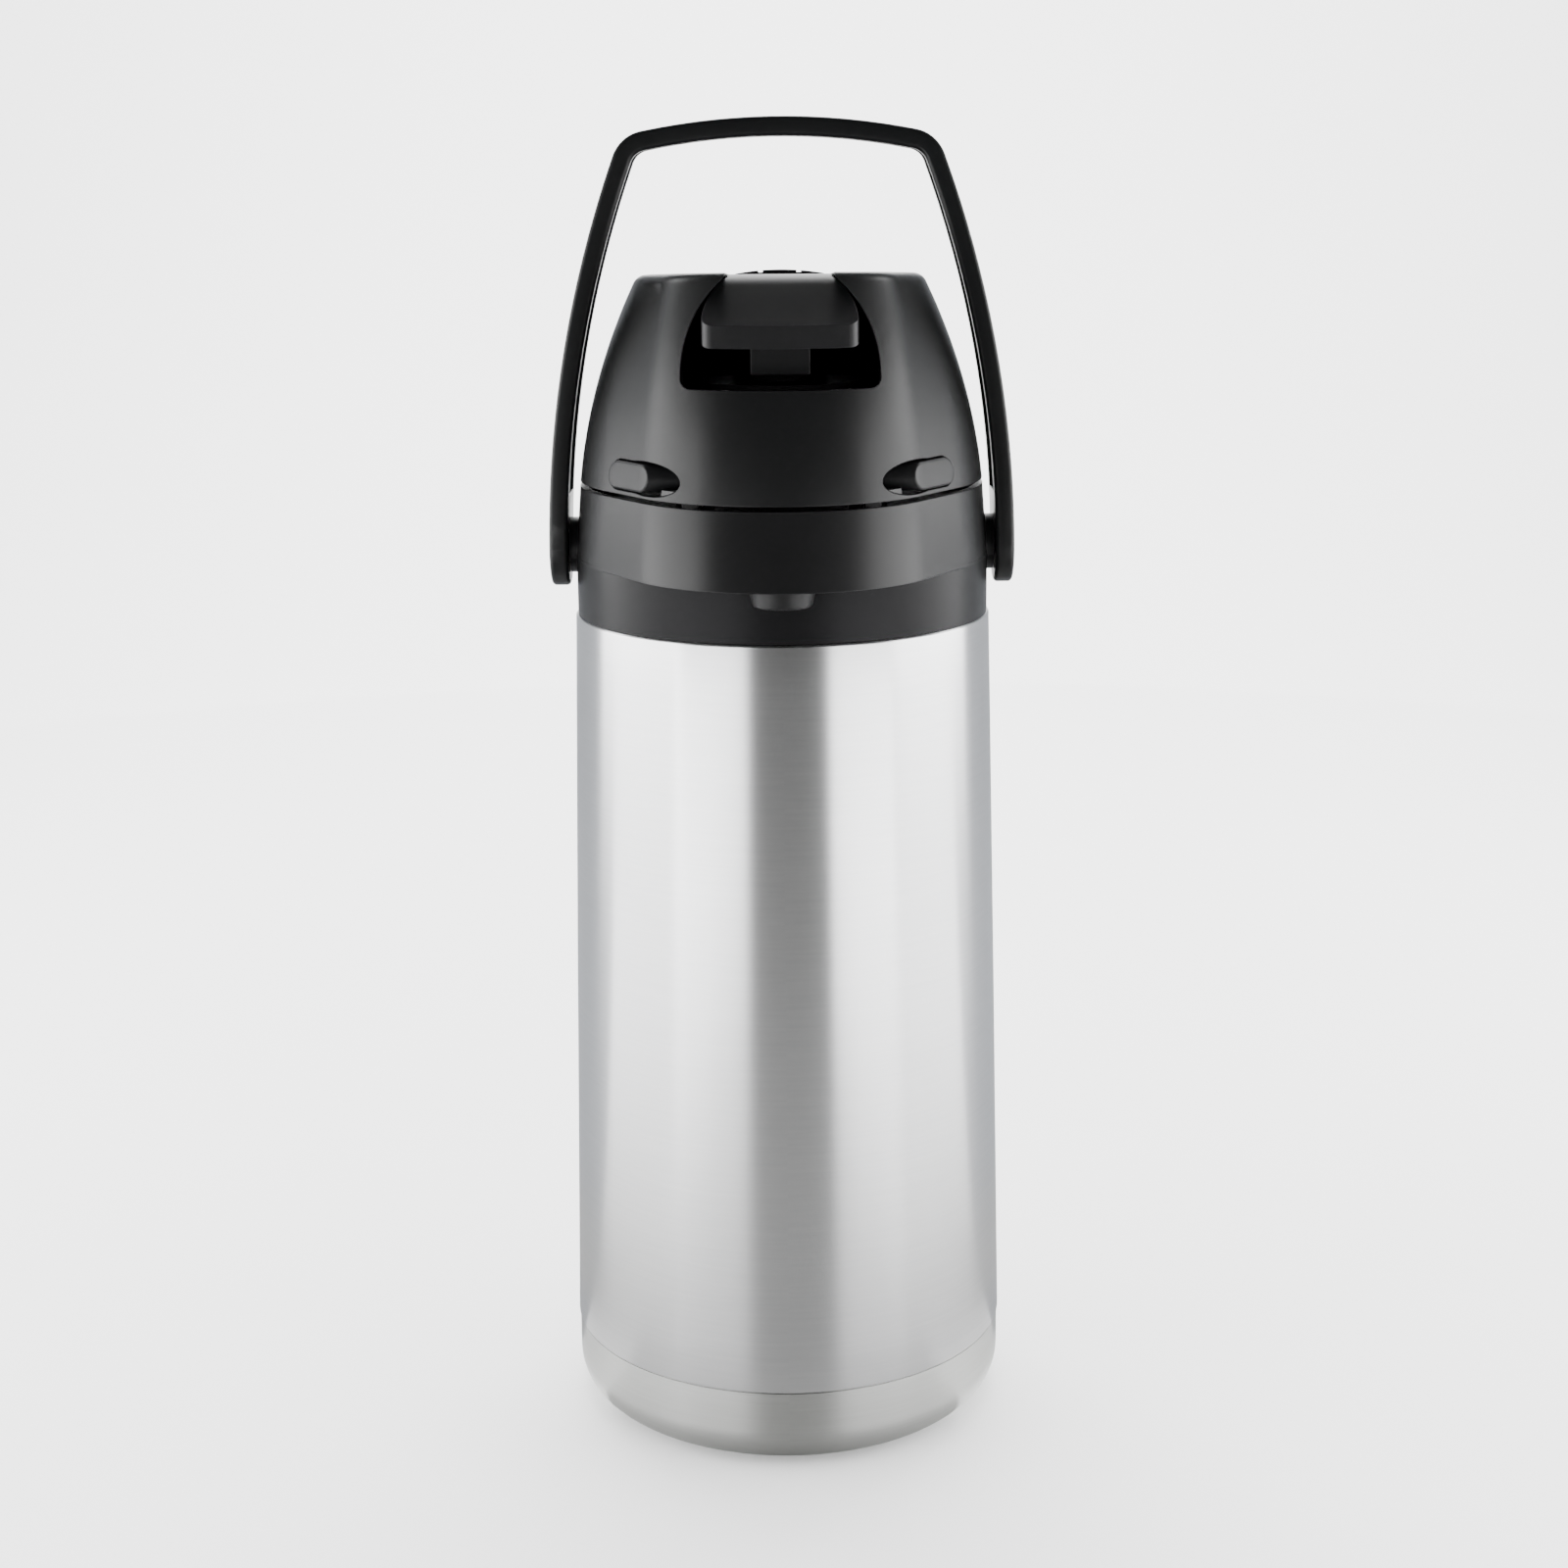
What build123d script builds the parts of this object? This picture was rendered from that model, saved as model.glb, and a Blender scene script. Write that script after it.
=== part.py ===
from build123d import *
import math
import os

# Vacuum airpot with a lever lid and a bail handle. Millimetres, +Z up, front (spout) towards -Y.
# The origin is on the body's axis, in the plane that the foot ring stands on.

# Steel body
FOOT_PROUD = 0.8        # how far the foot ring lifts the base cup
CUP_HEIGHT = 28.7       # base cup, from its flat bottom to the seam
BODY_HEIGHT = 255.0     # visible steel, seam to collar
BODY_FOOT_R = 76.2      # outside radius of the steel just above the seam
BODY_TAPER = 5.8        # how much slimmer the steel is under the collar
BODY_BOW = 0.15         # how much the side bulges past a straight taper
BODY_BOW_R = 4000.0     # radius that rounds the bulge
STEEL_WALL = 0.7
CUP_INSET = 0.4         # the cup is this much slimmer than the body at the seam
CUP_CORNER_R = 14.0
CUP_STAND_W = 4.3       # flat band between the cup's rounded corner and its recess
CUP_RECESS = 2.5        # how far the middle of the cup's bottom is raised
DISH_STEP = 1.8         # vacuum bottom's dish inside its flange
FOOT_RING_WIDTH = 8.0
JACKET_GAP = 9.0        # outer wall to inner flask
VESSEL_LIFT = 6.5       # inner flask above the vacuum bottom
VESSEL_CORNER_R = 20.0
SEAM_GAP = 0.4          # fine line between cup and body
JOGGLE_DEPTH = 7.0      # how far the casing reaches down into the cup
GETTER_R = 9.0
TOUCH = 0.01            # round pieces pressed together
FIT = 0.1               # clearance between rigid pieces that fit together
SOFT_FIT = 0.3          # clearance of seals that press in use

# Neck and mouth
SHOULDER_HEIGHT = 5.5   # steel shoulder above the visible body
SHOULDER_R = 4.0
NECK_R = 38.6           # outside radius of the flask's neck
NECK_BEND_R = 2.0
NECK_GAP = 2.0          # between the outer and the inner neck
NECK_HEIGHT = 14.6      # from the shoulder to the rim
PLASTIC_WALL = 2.4
RING_DECK = 3.5         # neck ring's thickness on the shoulder

# Collar
SKIRT_INSET = 0.7       # skirt against the steel's top edge
SKIRT_HEIGHT = 19.1     # round part under the overhang
COLLAR_HEIGHT = 24.4    # overhang's lip to the lid gap
COLLAR_TAPER = 1.9      # how much slimmer the collar is at the lid gap
FLAT_DEPTH = 0.5        # flat sides, cut this deep into the skirt's radius
LIP_REACH = 17.8        # overhang's lip in front of the skirt
RIM_REACH = 13.2        # the same at the lid gap
NOSE_TIGHTER = 15.8     # how much smaller the rounded front's radius is
FLOOR = 2.4
FLANGE_W = 17.3
FLANGE_T = 2.5
COLLAR_SCREW_INSET = 9.3    # screws' pitch circle inside the skirt's wall
SCREW_R = 1.5
SCREW_HEAD_R = 3.0
SCREW_HEAD_H = 1.8

# Mouth insert, dip tube and spout
GASKET_H = 1.2
SPIGOT_WALL = 3.9
SPIGOT_DEPTH = 9.0
INSERT_FLANGE_H = 10.0
INSERT_FLANGE_STEP = 0.8    # flange inside the neck's radius
TUBE_R = 4.5
TUBE_BORE_R = 3.5
TUBE_INSET = 6.0        # dip tube's axis inside the mouth's bore
TUBE_CLEAR = 2.5        # intake cap above the flask's bottom
CAP_FOOT = 3.0
CAP_GRIP = 7.0
CAP_NOTCH = 2.0
BOSS_WALL = 1.8
PIPE_R = 4.0
PIPE_BORE_R = 3.0
PIPE_GRIP = 3.6         # how deep the pipe sits in its sockets
NOZZLE_TOP_R = 10.75
NOZZLE_TIP_R = 9.35
NOZZLE_DROP = 5.9       # tip below the collar's lip
NOZZLE_SETBACK = 2.5    # from the lip's front to the nozzle
NOZZLE_NECK_R = 6.5
NOZZLE_EDGE_R = 1.2

# Funnel plate
PLATE_T = 2.0
PLATE_DROP = 6.5        # plate's top below the collar's rim
PLATE_BAND = 15.8       # flat band round the dish
DISH_WALL = 1.4
LEDGE_H = 2.0
LEDGE_W = 2.0

# Lid
LID_GAP = 1.6
LID_HEIGHT = 67.4       # on the axis, from the lid's edge to its top
LID_STEP = 0.1          # lid's edge inside the collar's
LID_SIDE_TAPER = 20.1   # how much slimmer the head is at its top
LID_FRONT_TAPER = 23.9
LID_NOSE_TAPER = 12.0
LID_TOP_BACK = 6.0      # the top leans this far to the rear
LID_TOP_SLOPE = 0.045   # fall of the top towards the rear
LID_BOW = 0.35          # 1 is a straight side, 0 a parabola
LID_TOP_EDGE_R = 5.0
LID_BASE_T = 2.0
LID_BASE_LIFT = 1.0     # base plate above the lid's rim
CUP_CLEAR = 0.7         # bellows cup inside the funnel's mouth
CUP_WALL = 1.8
CUP_FLOOR = 2.2
SEAL_H = 3.0
SEAL_WIDTH = 4.0        # seal's inner edge inside the mouth's bore
VALVE_R = 13.0
VALVE_T = 1.0
VALVE_STEM_R = 2.0
AIR_HOLE_R = 2.5
AIR_PITCH_R = 8.0
LID_SCREW_INSET = 20.7  # screws inside the head's half width
LID_SCREW_REAR = 26.0
LID_SCREW_FRONT = 18.0
LID_BOSS_R = 4.0
LID_SCREW_LENGTH = 12.0

# Lever recess in the head
SILL_DROP = 32.8        # bottom edge of the opening below the head's top
WELL_OVER_LATCH = 5.7   # well's floor above the latch button
WELL_HALF = 31.3        # half width at the sill
WELL_TOP_HALF = 17.3    # half width at the top of the head
WELL_TOP_RISE = 1.0     # where that width is, above the head's top on the axis
WELL_CORNER_R = 3.0
WELL_ARC_DROP = 29.0    # where the sides start to curve in
WELL_WALL = 1.6
WELL_CLEAR = 5.0        # well's rear wall in front of the bellows
WELL_BACK_H = 5.0

# Lever
PIVOT_INSET = 9.6       # pivot in front of the head's rear top edge
PIVOT_DROP = 10.0       # pivot below the top of the head
PIN_R = 2.0
PIN_BOSS_R = 4.6
RUNNING = 0.06          # radial clearance of a turning pin
LEVER_SIDE_GAP = 0.8
LEVER_TAIL = 5.0        # behind the pivot
LEVER_TIP_INSET = 14.9  # tip behind the front of the lid's edge
LEVER_SLOPE_LENGTH = 26.0   # pad, from the shoulder to the tip
LEVER_PAD_GAP = 7.0     # pad's half width inside the well's
LEVER_BULGE = 2.3       # halfway down the slope the side is this much inside the pad's
LEVER_TIP_DROP = 13.4   # tip's top edge below the head's top
LEVER_TIP_FACE = 7.0    # height of the front face
LEVER_TIP_BOW = 1.0     # bow of the front face
LEVER_TIP_R = 3.5       # corners of the front face in plan
LEVER_WALL = 2.2
LEVER_SIDE_H = 11.4
LEVER_TOP_DROP = 0.4
LEVER_BEND_R = 25.0
LEVER_BOSS_W = 5.0
RIB_HALF = 9.3
RIB_SETBACK = 10.0      # rib behind the lever's tip
RIB_REAR_Y = 10.0
RIB_DROP = 29.0         # rib's foot below the top of the head
PIN_GRIP = 4.2          # lever pin's reach into the head's bosses

# Lever lock
LOCK_HALF = 15.0
LOCK_LENGTH = 20.0
LOCK_RISE = 1.7         # crown of the domed knob above the lever
LOCK_EDGE = 0.4         # height of its ends
LOCK_Y = 12.0           # front edge of the knob behind the axis
LOCK_STROKE = 3.5
LOCK_STEM_HALF = 4.5
LOCK_STEM_LENGTH = 8.0
LOCK_TONGUE_T = 2.2
LOCK_STEM_BACK = 4.0    # stem behind the knob's front edge
LOCK_NOTCH_X = 6.5

# Pump
BELLOWS_INSET = 4.8     # bellows inside the cup's wall
BELLOWS_FOLD = 5.5
BELLOWS_FOLDS = 5
BELLOWS_WALL = 1.0
PUMP_PLATE_STEP = 2.0   # pump plate inside the bellows' radius
PUMP_PLATE_T = 2.4
CROWN_R = 9.0
CROWN_RISE = 5.5
CROWN_BALL_R = 22.0
RUB_GAP = 0.3
SPRING_INSET = 5.5      # return spring inside the folds
SPRING_WIRE_R = 0.9
SPRING_TURNS = 5
SPRING_SEAT_H = 3.0

# Squeeze latches
LATCH_RISE = 6.2        # middle of the button above the lid's edge
LATCH_INSET = 31.9      # middle of the button behind the front of the lid's edge
LATCH_HALF_H = 4.5
LATCH_HALF_D = 11.0
LATCH_PROUD = 1.2
LATCH_EDGE_R = 0.9
LATCH_GAP = 0.5
RELIEF_INSET = 9.5      # middle of the finger relief inside the nose's radius
RELIEF_HALF = 11.0
RELIEF_HALF_H = 5.4
LATCH_INNER_X = 20.0
LATCH_STROKE = 3.5
TONGUE_X = 24.5         # outer face of the tongue
TONGUE_T = 3.5
TONGUE_W = 6.0
TONGUE_SETBACK = 11.5   # tongue behind the collar's front rim
NOSE_BITE = 1.2
POST_T = 4.0
NOSE_H = 2.0
NOSE_GAP = 0.3
STEM_DROP = 2.6         # stem's underside below the button's middle
STEM_H = 5.0
LATCH_SPRING_R = 2.2
LATCH_WIRE_R = 0.4
LATCH_SPRING_TURNS = 6
SPRING_SEAT_HALF = 8.0

# Rear hinge
HINGE_OUT = 2.7         # pin behind the collar's rear
KNUCKLE_R = 4.6
KNUCKLE_HALF = 13.6     # half width of the lid's knuckle
EAR_WIDTH = 12.0
HINGE_CLEAR = 0.5
GUSSET_H = 14.0

# Handle
PIVOT_OVER_LIP = 3.6
HANDLE_RISE = 50.4      # top of the grip above the top of the head
HANDLE_T = 6.2
HANDLE_GAP = 0.3        # arm beside its boss
BOSS_PROUD = 2.4        # boss on the collar's flat side
BOSS_R = 9.35
HANDLE_EYE_R = 13.8
HANDLE_TOP_HALF_D = 9.8 # half depth of the grip
HANDLE_SIDE_R = 375.0
HANDLE_ARCH_R = 230.0
HANDLE_CORNER_R = 12.5
ARM_CURVE_DROP = 4.2    # where the arms start to bow, below the pivot
HANDLE_EDGE_R = 1.4
GROOVE_DEPTH = 0.9
GROOVE_MARGIN = 4.0
HANDLE_PIN_R = 4.0
HANDLE_HEAD_R = 6.5
HANDLE_HEAD_T = 1.7
HEAD_SINK = 0.2         # pin's head below the arm's outer face
CLIP_R = 7.0
CLIP_T = 0.8

# Heights worked out from the sizes above
CUP_BOTTOM_Z = FOOT_PROUD
SEAM_Z = CUP_BOTTOM_Z + CUP_HEIGHT
BODY_TOP_Z = SEAM_Z + BODY_HEIGHT
SHOULDER_Z = BODY_TOP_Z + SHOULDER_HEIGHT
RIM_Z = SHOULDER_Z + NECK_HEIGHT
LIP_Z = BODY_TOP_Z + SKIRT_HEIGHT
COLLAR_TOP_Z = LIP_Z + COLLAR_HEIGHT
LID_Z = COLLAR_TOP_Z + LID_GAP
LID_TOP_Z = LID_Z + LID_HEIGHT
FLANGE_Z = SHOULDER_Z + FIT + RING_DECK
INSERT_Z = RIM_Z + STEEL_WALL + GASKET_H
INSERT_TOP_Z = INSERT_Z + INSERT_FLANGE_H
PIPE_Z = (INSERT_Z + INSERT_TOP_Z) / 2 - 0.2
PLATE_TOP_Z = COLLAR_TOP_Z - PLATE_DROP
LID_BASE_Z = LID_Z + LID_BASE_LIFT
CUP_FLOOR_Z = INSERT_TOP_Z + SOFT_FIT + SEAL_H
BELLOWS_Z = CUP_FLOOR_Z + CUP_FLOOR
LATCH_Z = LID_Z + LATCH_RISE
LATCH_NOSE_Z = LID_BASE_Z - 0.5 - 2 * NOSE_H - NOSE_GAP
STEM_Z = LATCH_Z - STEM_DROP
SILL_Z = LID_TOP_Z - SILL_DROP
WELL_FLOOR_Z = LATCH_Z + LATCH_HALF_H + WELL_OVER_LATCH
WELL_ARC_Z = LID_TOP_Z - WELL_ARC_DROP
WELL_TOP_Z = LID_TOP_Z + WELL_TOP_RISE
OVER_TOP_Z = LID_TOP_Z + 5.0
PIVOT_Z = LID_TOP_Z - PIVOT_DROP
LEVER_TOP_Z = LID_TOP_Z - LEVER_TOP_DROP
TONGUE_LOW_Z = PIVOT_Z + PIN_R + 0.8
RIB_BOTTOM_Z = LID_TOP_Z - RIB_DROP
CROWN_TOP_Z = RIB_BOTTOM_Z - RUB_GAP
PUMP_PLATE_Z = CROWN_TOP_Z - CROWN_RISE - PUMP_PLATE_T
HINGE_Z = COLLAR_TOP_Z + LID_GAP / 2
HANDLE_PIVOT_Z = LIP_Z + PIVOT_OVER_LIP
HANDLE_TOP_Z = LID_TOP_Z + HANDLE_RISE
ARM_CURVE_Z = HANDLE_PIVOT_Z - ARM_CURVE_DROP
JACKET_Z = CUP_BOTTOM_Z + CUP_RECESS + STEEL_WALL + FIT
VESSEL_Z = JACKET_Z + VESSEL_LIFT
TUBE_FOOT_Z = VESSEL_Z + STEEL_WALL + TUBE_CLEAR + CAP_FOOT
TUBE_TOP_Z = PIPE_Z - PIPE_BORE_R - 1.0

# Widths and reaches worked out from the sizes above
BODY_TOP_R = BODY_FOOT_R - BODY_TAPER
CUP_RECESS_R = BODY_FOOT_R - CUP_INSET - CUP_CORNER_R - CUP_STAND_W
SKIRT_R = BODY_TOP_R - SKIRT_INSET
SKIRT_BORE_R = SKIRT_R - PLASTIC_WALL
COLLAR_TOP_R = SKIRT_R - COLLAR_TAPER
COLLAR_FLAT = SKIRT_R - FLAT_DEPTH
LIP_FRONT = SKIRT_R + LIP_REACH
RIM_FRONT = COLLAR_TOP_R + RIM_REACH
NOSE_R = COLLAR_TOP_R - NOSE_TIGHTER
FLANGE_INNER_R = SKIRT_BORE_R - FLANGE_W
COLLAR_SCREW_R = SKIRT_BORE_R - COLLAR_SCREW_INSET
INNER_NECK_R = NECK_R - STEEL_WALL - NECK_GAP
SPIGOT_R = INNER_NECK_R - STEEL_WALL - SOFT_FIT
INSERT_BORE_R = SPIGOT_R - SPIGOT_WALL
INSERT_FLANGE_R = NECK_R - INSERT_FLANGE_STEP
TUBE_FRONT = INSERT_BORE_R - TUBE_INSET
NOZZLE_Y = -(LIP_FRONT - NOZZLE_SETBACK - NOZZLE_TOP_R)
FUNNEL_TOP_R = COLLAR_TOP_R - PLATE_BAND
FUNNEL_MOUTH_R = INSERT_FLANGE_R - DISH_WALL - FIT
CUP_R = FUNNEL_MOUTH_R - CUP_CLEAR
SEAL_INNER_R = INSERT_BORE_R - SEAL_WIDTH
BELLOWS_R = CUP_R - CUP_WALL - BELLOWS_INSET
PUMP_PLATE_R = BELLOWS_R - PUMP_PLATE_STEP
SPRING_R = BELLOWS_R - BELLOWS_FOLD - BELLOWS_WALL - SPRING_INSET
LID_BASE_HALF = COLLAR_TOP_R - LID_STEP
LID_BASE_FRONT = RIM_FRONT - LID_STEP
LID_TOP_HALF = LID_BASE_HALF - LID_SIDE_TAPER
LID_TOP_FRONT = LID_BASE_FRONT - LID_FRONT_TAPER
LID_TOP_NOSE = NOSE_R - LID_NOSE_TAPER
LID_SCREW_X = LID_BASE_HALF - LID_SCREW_INSET
WELL_REAR = BELLOWS_R + WELL_CLEAR
PIVOT_Y = LID_TOP_HALF + LID_TOP_BACK - PIVOT_INSET
LEVER_TIP_Y = LID_BASE_FRONT - LEVER_TIP_INSET
LEVER_SHOULDER_Y = LEVER_TIP_Y - LEVER_SLOPE_LENGTH
LEVER_PAD_HALF = WELL_HALF - LEVER_PAD_GAP
LEVER_PIN_HALF = WELL_TOP_HALF + PIN_GRIP
RIB_FRONT_Y = LEVER_TIP_Y - RIB_SETBACK
LATCH_Y = LID_BASE_FRONT - LATCH_INSET
RELIEF_X = NOSE_R - RELIEF_INSET
TONGUE_FRONT_Y = RIM_FRONT - TONGUE_SETBACK
TONGUE_REAR_Y = TONGUE_FRONT_Y - TONGUE_W
HINGE_Y = COLLAR_TOP_R + HINGE_OUT
HANDLE_HALF = COLLAR_FLAT + BOSS_PROUD + HANDLE_GAP + HANDLE_T
CLIP_X = COLLAR_TOP_R - PLASTIC_WALL - FIT
UPRIGHT = (Align.CENTER, Align.CENTER, Align.MIN)


def save(shape, name):
    """Write one piece, under its own name, as one STEP file."""
    shape.label = name
    export_step(shape, f"parts/{name}.step")


def turned(points, radii=None):
    """Solid turned about Z from a closed (radius, height) outline with optional corner radii."""
    outline = Polyline(*points, close=True) if radii is None else FilletPolyline(*points, radius=radii, close=True)
    return revolve(Plane.XZ * make_face(outline), axis=Axis.Z)


def sheet_turned(points, radii, wall):
    """Thin turned shell: the outer (radius, height) line, thickened inwards by wall."""
    line = FilletPolyline(*points, radius=radii)
    band = offset(line, amount=-wall, side=Side.LEFT, kind=Kind.INTERSECTION, closed=True)
    return revolve(Plane.XZ * make_face(band), axis=Axis.Z)


def rod(radius, start, end):
    """Round bar between two points."""
    path = Vector(*end) - Vector(*start)
    place = Plane(origin=start, z_dir=path)
    return place * Cylinder(radius, path.length, align=(Align.CENTER, Align.CENTER, Align.MIN))


def block(x0, x1, y0, y1, z0, z1):
    """Box between two corners."""
    return Pos(x0, y0, z0) * Box(x1 - x0, y1 - y0, z1 - z0, align=Align.MIN)


def both_sides(shape):
    """The piece and its mirror image on the other side of the pot."""
    return [shape, mirror(shape, about=Plane.YZ)]


def egg(half, front, nose, z, back=0.0):
    """Plan outline of the head: a round rear and a smaller round nose, joined by tangent lines."""
    nose_y = -(front - nose)
    lean = math.asin((half - nose) / (back - nose_y))
    side = (half * math.cos(lean), back - half * math.sin(lean))
    cheek = (nose * math.cos(lean), nose_y - nose * math.sin(lean))
    outline = (
        ThreePointArc(side, (0, back + half), (-side[0], side[1]))
        + Line((-side[0], side[1]), (-cheek[0], cheek[1]))
        + ThreePointArc((-cheek[0], cheek[1]), (0, -front), cheek)
        + Line(cheek, side)
    )
    return Pos(0, 0, z) * make_face(outline)


def collar_size(z, inset=0.0):
    """Half width, front reach and nose radius of the collar at a height, drawn in by inset."""
    up = (z - LIP_Z) / COLLAR_HEIGHT
    half = SKIRT_R + (COLLAR_TOP_R - SKIRT_R) * up
    front = LIP_FRONT + (RIM_FRONT - LIP_FRONT) * up
    return half - inset, front - inset, NOSE_R - inset


def collar_form(inset, z0, z1):
    """Solid of the collar's flared outline between two heights, drawn in by inset."""
    return loft([egg(*collar_size(z, inset), z) for z in (z0, z1)])


def lid_size(z):
    """Half width, front reach, nose radius and rearward shift of the head at a height."""
    up = (z - LID_Z) / LID_HEIGHT
    drawn_in = LID_BOW * up + (1 - LID_BOW) * up * up
    half = LID_BASE_HALF + (LID_TOP_HALF - LID_BASE_HALF) * drawn_in
    front = LID_BASE_FRONT + (LID_TOP_FRONT - LID_BASE_FRONT) * drawn_in
    nose = NOSE_R + (LID_TOP_NOSE - NOSE_R) * drawn_in
    return half, front, nose, LID_TOP_BACK * drawn_in


def lid_tilt(z):
    """Backward tilt of the head's sections in degrees: none in the lower half, the top's slope at the top."""
    up = max(0.0, 2 * (z - LID_Z) / LID_HEIGHT - 1)
    return math.degrees(math.atan(LID_TOP_SLOPE)) * up * up


def lid_form(inset, z0, z1, steps=4):
    """Solid of the head's domed outline between two heights, drawn in by inset."""
    faces = []
    for i in range(steps + 1):
        z = z0 + (z1 - z0) * i / steps
        half, front, nose, back = lid_size(z)
        section = egg(half - inset, front - inset, nose - inset, 0, back)
        faces.append(Pos(0, 0, z) * Rot(-lid_tilt(z), 0, 0) * section)
    return loft(faces)


# Vessel

def make_outer_casing():
    """Tapered steel wall with a joggle into the base cup, a rolled shoulder and a neck."""
    joggle = CUP_INSET + STEEL_WALL + FIT
    step = SKIRT_INSET + PLASTIC_WALL + FIT
    middle_r = (BODY_FOOT_R + BODY_TOP_R) / 2 + BODY_BOW
    points = [
        (BODY_FOOT_R - joggle, SEAM_Z - JOGGLE_DEPTH),
        (BODY_FOOT_R - joggle, SEAM_Z),
        (BODY_FOOT_R, SEAM_Z),
        (middle_r, (SEAM_Z + BODY_TOP_Z) / 2),
        (BODY_TOP_R, BODY_TOP_Z),
        (BODY_TOP_R - step, BODY_TOP_Z),
        (BODY_TOP_R - step, SHOULDER_Z),
        (NECK_R, SHOULDER_Z),
        (NECK_R, RIM_Z),
    ]
    radii = [0.3, 0.5, BODY_BOW_R, 0.9, 0.2, SHOULDER_R, NECK_BEND_R]
    return sheet_turned(points, radii, STEEL_WALL)


def make_inner_vessel():
    """Inner flask with a rounded bottom, a shoulder, the inner neck and the rolled rim."""
    foot_r = BODY_FOOT_R - JACKET_GAP
    top_r = BODY_TOP_R - JACKET_GAP
    points = [
        (0, VESSEL_Z),
        (foot_r, VESSEL_Z),
        (top_r, SHOULDER_Z - JACKET_GAP),
        (INNER_NECK_R, SHOULDER_Z - STEEL_WALL - NECK_GAP),
        (INNER_NECK_R, RIM_Z),
        (NECK_R, RIM_Z),
    ]
    radii = [VESSEL_CORNER_R, 12.0, 6.0, 1.2]
    return sheet_turned(points, radii, STEEL_WALL)


def make_vacuum_bottom():
    """Dished plate that closes the vacuum jacket inside the foot of the casing."""
    casing_in_r = BODY_FOOT_R - CUP_INSET - 2 * STEEL_WALL - FIT
    dish_r = casing_in_r - DISH_STEP
    joint_z = SEAM_Z - JOGGLE_DEPTH
    points = [
        (GETTER_R, JACKET_Z),
        (dish_r, JACKET_Z),
        (dish_r, joint_z - DISH_STEP),
        (casing_in_r, joint_z),
        (casing_in_r, joint_z + JOGGLE_DEPTH / 2),
    ]
    return sheet_turned(points, [CUP_CORNER_R, 1.5, 1.0], STEEL_WALL)


def make_getter_cap():
    """Cap that seals the pumping hole in the vacuum bottom."""
    plug_r = GETTER_R - FIT
    deck_z = JACKET_Z + STEEL_WALL
    top_z = deck_z + 2 * STEEL_WALL
    return turned([
        (0, JACKET_Z), (plug_r, JACKET_Z), (plug_r, deck_z),
        (GETTER_R + 2.0, deck_z), (GETTER_R + 2.0, top_z), (0, top_z),
    ])


def make_base_cup():
    """Steel cup with a rounded lower corner and a raised middle that holds the foot ring."""
    cup_r = BODY_FOOT_R - CUP_INSET
    recess_z = CUP_BOTTOM_Z + CUP_RECESS
    points = [
        (0, recess_z),
        (CUP_RECESS_R, recess_z),
        (CUP_RECESS_R, CUP_BOTTOM_Z),
        (cup_r, CUP_BOTTOM_Z),
        (cup_r, SEAM_Z - SEAM_GAP),
    ]
    return sheet_turned(points, [0.9, 0.9, CUP_CORNER_R], STEEL_WALL)


def make_foot_ring():
    """Non-slip ring glued into the recess under the cup."""
    outer_r = CUP_RECESS_R - FIT
    inner_r = outer_r - FOOT_RING_WIDTH
    top_z = CUP_BOTTOM_Z + CUP_RECESS
    chamfered = 0.8
    return turned([
        (inner_r + chamfered, 0), (outer_r - chamfered, 0), (outer_r, chamfered),
        (outer_r, top_z - chamfered), (outer_r - chamfered, top_z), (inner_r, top_z), (inner_r, chamfered),
    ])


def make_neck_ring():
    """Moulded ring on the steel shoulder, inside the skirt, that the collar is screwed to."""
    deck_r = SKIRT_BORE_R - FIT
    eye_r = NECK_R + NECK_BEND_R + FIT
    deck_z = SHOULDER_Z + FIT
    ring = turned([(eye_r, deck_z), (deck_r, deck_z), (deck_r, FLANGE_Z), (eye_r, FLANGE_Z)])
    for x, y in screw_places():
        ring -= rod(SCREW_R, (x, y, deck_z - 1), (x, y, FLANGE_Z + 1))
    return ring


def screw_places():
    """Where the four collar screws stand."""
    reach = COLLAR_SCREW_R / math.sqrt(2)
    return [(sx * reach, sy * reach) for sx in (-1, 1) for sy in (-1, 1)]


def make_collar_screws():
    """Four screws through the collar's flange into the neck ring's deck."""
    top_z = FLANGE_Z + FIT + FLANGE_T
    screws = []
    for x, y in screw_places():
        shank = rod(SCREW_R, (x, y, SHOULDER_Z + 2 * FIT), (x, y, top_z))
        head = rod(SCREW_HEAD_R, (x, y, top_z), (x, y, top_z + SCREW_HEAD_H))
        screws.append(shank + head)
    return Compound(children=screws)


def latch_post(side):
    """Hooked post of the collar that one latch tongue catches under."""
    inner_x = TONGUE_X + NOSE_BITE + NOSE_GAP
    top_z = LATCH_NOSE_Z + 2 * NOSE_H + NOSE_GAP
    back_x = inner_x + NOSE_BITE
    foot_z = PLATE_TOP_Z - PLATE_T - LEDGE_H
    wall = block(back_x, back_x + POST_T, -LIP_FRONT, -TONGUE_REAR_Y, foot_z, top_z)
    nose = block(inner_x, back_x + 1, -LIP_FRONT, -TONGUE_REAR_Y, top_z - NOSE_H, top_z)
    inside = extrude(egg(*collar_size(COLLAR_TOP_Z, PLASTIC_WALL + 0.2), foot_z), top_z - foot_z)
    post = (wall + nose) & inside
    return post if side > 0 else mirror(post, about=Plane.YZ)


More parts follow.
